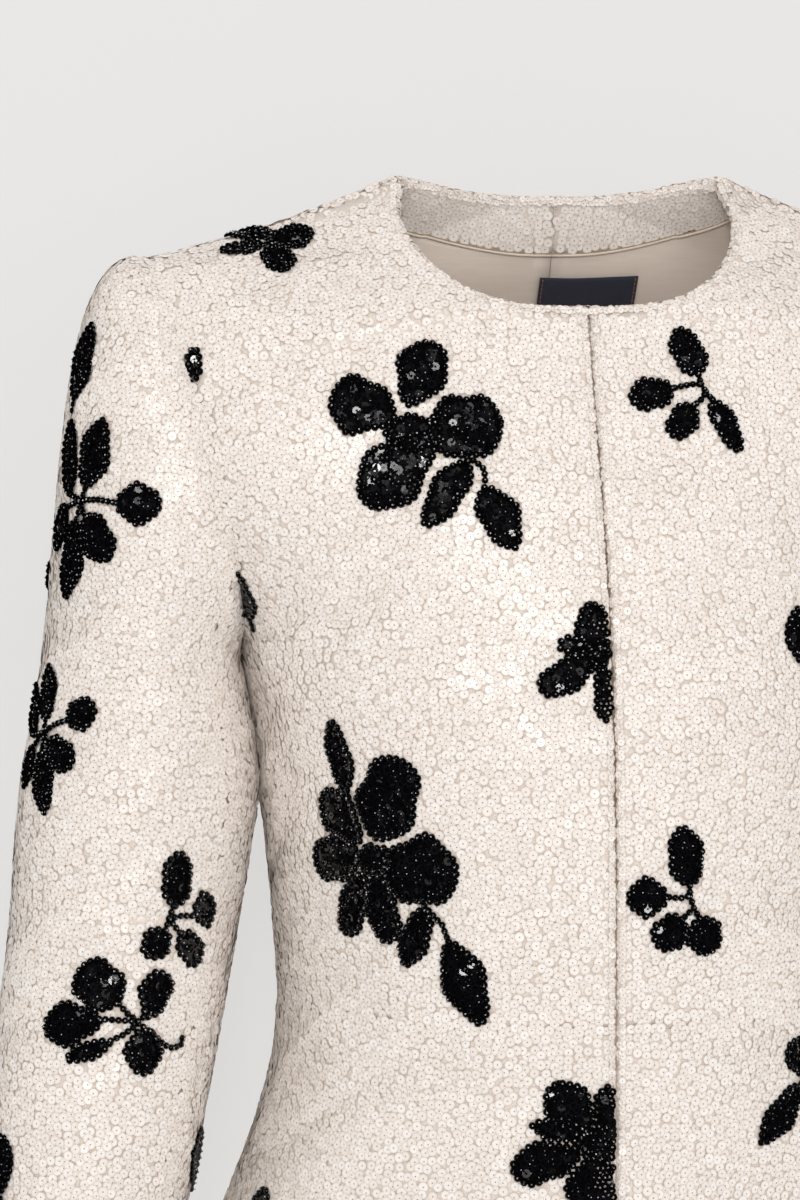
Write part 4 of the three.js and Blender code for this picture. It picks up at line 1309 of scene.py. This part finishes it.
def rolledEdge(name, side):
    # a turned edge: its points, the cloth's direction and the way off its edge, then the length along it
    kind, a, b, inward = rolls[name][0]
    a, b = (np.broadcast_to(value, full.shape).astype(float) for value in (a, b))
    spots, out = facing((kind, side), a, b)
    run = unit(np.gradient(spots, axis=0))
    back = surfaces[kind, side](a + 0.01 * inward[0], b + 0.01 * inward[1]) - spots
    way = -unit(back - run * dot(back, run)[:, None] - out * dot(back, out)[:, None])
    if name.startswith("centre"):
        spots = spots * (0, 1, 1) + (frontGap / 2, 0, 0)
    return (spots, out, way), runOf(spots)


def rollMiddle(name, lines, run, along):
    # the roll's middle at some lengths along it, its radius, and the ways off the cloth and off its edge
    here, lift, off = (sample(line, run, along) for line in lines)
    swell = np.exp(-(along / neckCorner["reach"]) ** 2)[:, None] * name.startswith("neck")
    grown = rolls[name][1] + neckCorner["thicker"] * swell
    return here - (lift + off) * grown + off * neckCorner["inward"] * swell, grown, lift, off


def rollDiscs(side, names):
    # rows of smaller sequins round each turned edge
    spots, faceOut = [], []
    for name in names:
        lines, run = rolledEdge(name, side)
        for row, angle in enumerate(rolls[name][2]):
            along = np.arange((row % 2 + 0.6) * ivory["rollStep"] / 2, run[-1], ivory["rollStep"])
            along = along + dice.normal(0, ivory["rollWaver"], len(along))
            middle, grown, lift, off = rollMiddle(name, lines, run, along)
            turn = np.radians(angle + dice.normal(0, ivory["rollTurn"], len(along)))[:, None]
            face = unit(lift * np.cos(turn) + off * np.sin(turn))
            lifted = ivory["rollLift"] * dice.uniform(*ivory["rollLifts"], grown.shape)
            spots.append(middle + face * (grown + lifted))
            tilt = dice.uniform(*ivory["rollTilt"], len(along))
            faceOut.append(lean(face, tilt, dice.normal(0, 1, face.shape)))
    return np.concatenate(spots), np.concatenate(faceOut)


for sideName, side in sides.items():
    for name in ("neckFront", "neckBack"):
        # the seam layers inside the turned edge at the shoulder, one tapered roll
        lines, run = rolledEdge(name, side)
        middle, grown, _, _ = rollMiddle(name, lines, run, np.linspace(0, 2 * neckCorner["reach"], 18))
        corner = addTube(f"{name}_corner_{sideName}", [mirrored(middle, side)],
                         (grown - neckCorner["sunk"])[:, None], finishes["net"], neckCorner["sides"])


def sequinFace(name, home, spots, out, toEdge, names=()):
    # ivory sequins at some places, smaller and flatter near an edge, with the rows round turned edges
    side = home[1]
    count = len(spots)
    least, small = ivory["edgeTilt"], ivory["edgeSize"]
    calm = least + (1 - least) * smooth(toEdge, *ivory["edgeReach"])
    way = unit(swirl(spots)) + dice.normal(0, ivory["scatter"], (count, 3))
    faceOut = lean(out, dice.uniform(*ivory["tilt"], count) * calm, way)
    raised = spots + out * (dice.uniform(*ivory["lift"], count) * calm)[:, None]
    sizes = ivory["size"] * dice.uniform(*ivory["sizes"], count) * (small + (1 - small) * calm)
    if names:
        rolled, rolledOut = rollDiscs(side, names)
        keep = clearOfFlowers(home, rolled)
        raised, faceOut = np.concatenate([raised, rolled[keep]]), np.concatenate([faceOut, rolledOut[keep]])
        sizes = np.append(sizes, ivory["rollSize"] * dice.uniform(*ivory["rollSizes"], keep.sum()))
    discs = addDiscs(name, mirrored(raised, side), mirrored(faceOut, side), sizes, finishes["sequin"])
    return len(raised)


def tipped(way, tilt):
    # directions that follow the cloth round a turned edge
    return unit(way * np.sqrt(1 - np.clip((tilt ** 2).sum(1), 0, ivory["steepest"]))[:, None] + tilt)


sequinCount = 0
for order, (panelName, panel) in enumerate(panels.items()):
    for sideName, side in sides.items():
        home = (panel["kind"], side)
        seed = 3 + order * 2 + (side > 0)
        at, way = sow(f"field_{panelName}_{sideName}", home, gridOf(panel), ivory["apart"], seed)
        sunk, tilt, toEdge = edgeDepth(at, panel["edges"])
        widest = max(edgeRadius[edge] for edge in panel["edges"])
        keep = clearOfFlowers(home, at) & (toEdge > widest * ivory["offEdge"])
        turned = tipped(way, tilt)
        at = at - way * sunk[:, None]
        sequinCount += sequinFace(f"sequins_{nodeOf(panelName, sideName)}", home, at[keep], turned[keep],
                                  toEdge[keep], panelRolls[panelName])
print("ivory sequins sewn:", sequinCount)

# Sequins inside the neck: how far they keep off its edges, and the front strip's share of the cloth.
insideNeck = {"toEdge": 2.2, "toMiddle": 1.4, "toBinding": 1.6, "toTurn": 0.4,
              "across": 0.6, "level": -0.42}


def innerSequins(name, home, grid, edges, depth, seed):
    # sequins on a strip inside the neck, facing in; the front's strip has no depth of its own
    at, way = sow(name, home, grid, ivory["innerApart"], seed)
    sunk, tilt, toEdge = edgeDepth(at, edges)
    keep = (toEdge > insideNeck["toEdge"]) & (at[:, 0] > insideNeck["toMiddle"])
    if depth is None:
        depth = neckWall(toEdge)
        keep &= toEdge < facingDepth - insideNeck["toTurn"]
    turned = tipped(-way, tilt)
    at = at - way * (depth - sunk)[:, None]
    return sequinFace(name, home, at[keep], turned[keep], toEdge[keep])


for sideName, side in sides.items():
    home = ("torso", side)
    place, depth = np.meshgrid(
        np.linspace(0.001, 1, 33), (facingDepth - insideNeck["toBinding"]) * np.linspace(0, 1, 8),
        indexing="ij")
    places = belowNeck(place.ravel(), depth.ravel(), surfaces[home])
    grid = [values.reshape(place.shape) for values in places]
    sequinCount += innerSequins(f"sequins_neck_facing_{sideName}", home, grid, panels["back"]["edges"],
                                insideDepth + clothThickness, 60 + side)
    strip = np.meshgrid(np.linspace(0, insideNeck["across"], 30), np.linspace(insideNeck["level"], 0, 40))
    sequinCount += innerSequins(f"sequins_front_neck_{sideName}", home, strip, ("neckFront",), None,
                                70 + side)
print("all ivory sequins:", sequinCount)


# Floor, backdrop, lights and camera

studio = {"floorZ": -0.72, "wallY": 0.165, "reach": 6.0, "key": 12, "fill": 11, "sky": 0.82, "glow": 0.715}


# Translucent matt paper lit from behind, off-white: no gloss, so only a soft shadow marks it.
def paperMaterial(oneSided):
    material, tree, shader = newMaterial("seamlessPaper", {
        "Roughness": 0.9, "Specular IOR Level": 0.1, "Emission Color": linear("#E8E7E5"),
        "Emission Strength": studio["glow"]})
    grain = addNode(tree, "ShaderNodeTexNoise", {"Scale": 1 / (3 * mm), "Detail": 2.0})
    colour = addNode(tree, "ShaderNodeMix", blend("#848485", "#868687"), {0: grain.outputs[0]})
    cover(tree, shader, colour)
    if oneSided:
        # The backdrop lets light and sight through from behind.
        back = addNode(tree, "ShaderNodeNewGeometry")
        clear = addNode(tree, "ShaderNodeBsdfTransparent")
        both = addNode(tree, "ShaderNodeMixShader", None, {
            0: back.outputs["Backfacing"], 1: shader.outputs[0], 2: clear.outputs[0]})
        tree.links.new(both.outputs[0], tree.nodes["Material Output"].inputs[0])
    return material


def addStage(name, corners, material):
    mesh = bpy.data.meshes.new(name)
    mesh.from_pydata(corners, [], [(0, 1, 2, 3)])
    mesh.materials.append(material)
    thing = bpy.data.objects.new(name, mesh)
    scene.collection.objects.link(thing)
    thing.visible_glossy = False  # flagged off, so that the beads stay black and mirror the lamps alone
    thing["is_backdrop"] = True


reach, floorZ, wallY = studio["reach"], studio["floorZ"], studio["wallY"]
addStage("floor", [(x * reach, y * reach, floorZ) for x, y in ((-1, -1), (1, -1), (1, 1), (-1, 1))],
         paperMaterial(False))
addStage("backdrop", [(x * reach, wallY, z) for x, z in ((-1, floorZ), (1, floorZ), (1, 3), (-1, 3))],
         paperMaterial(True))


def addLight(name, place, target, size, power, warmth):
    data = bpy.data.lights.new(name, "AREA")
    data.shape, data.size, data.energy = "DISK", size, power
    data.color = warmth
    lamp = bpy.data.objects.new(name, data)
    scene.collection.objects.link(lamp)
    lamp.location = place
    lamp.rotation_euler = (Vector(target) - Vector(place)).to_track_quat("-Z", "Y").to_euler()
    return lamp


middle = (-0.08, 0, -0.22)
addLight("key", (-0.5, -2.4, 0.5), middle, 0.34, studio["key"], (1, 0.99, 0.975))
fill = addLight("fill", (0.3, -2.9, 0.2), middle, 2.6, studio["fill"], (1, 0.99, 0.985))
fill.visible_glossy = False  # a large soft lamp, which would grey the black beads
addLight("back", (0.4, 2.6, 1.6), middle, 1.8, studio["fill"], (1, 0.99, 0.98))
world = bpy.data.worlds.new("studioAir")
world.use_nodes = True
world.cycles_visibility.glossy = False
world.node_tree.nodes["Background"].inputs[0].default_value = linear("#FAF6F3")
world.node_tree.nodes["Background"].inputs[1].default_value = studio["sky"]
scene.world = world
scene.view_settings.view_transform = "Standard"

shot = {"yaw": -9, "height": 4, "distance": 2.2, "target": (-0.081, 0, -0.213), "frame": 0.6}


def addCamera():
    yaw, height = math.radians(shot["yaw"]), math.radians(shot["height"])
    back = Vector((math.sin(yaw) * math.cos(height), -math.cos(yaw) * math.cos(height), math.sin(height)))
    data = bpy.data.cameras.new("camera")
    data.sensor_fit = "VERTICAL"
    data.angle = 2 * math.atan(shot["frame"] / 2 / shot["distance"])
    camera = bpy.data.objects.new("camera", data)
    scene.collection.objects.link(camera)
    camera.location = Vector(shot["target"]) + back * shot["distance"]
    camera.rotation_euler = (-back).to_track_quat("-Z", "Y").to_euler()
    scene.camera = camera


addCamera()
print("stage, lights and camera made")

low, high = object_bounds()
sizes = {"cad": [list(corner) for corner in cadBox], "visual": [list(low), list(high)]}
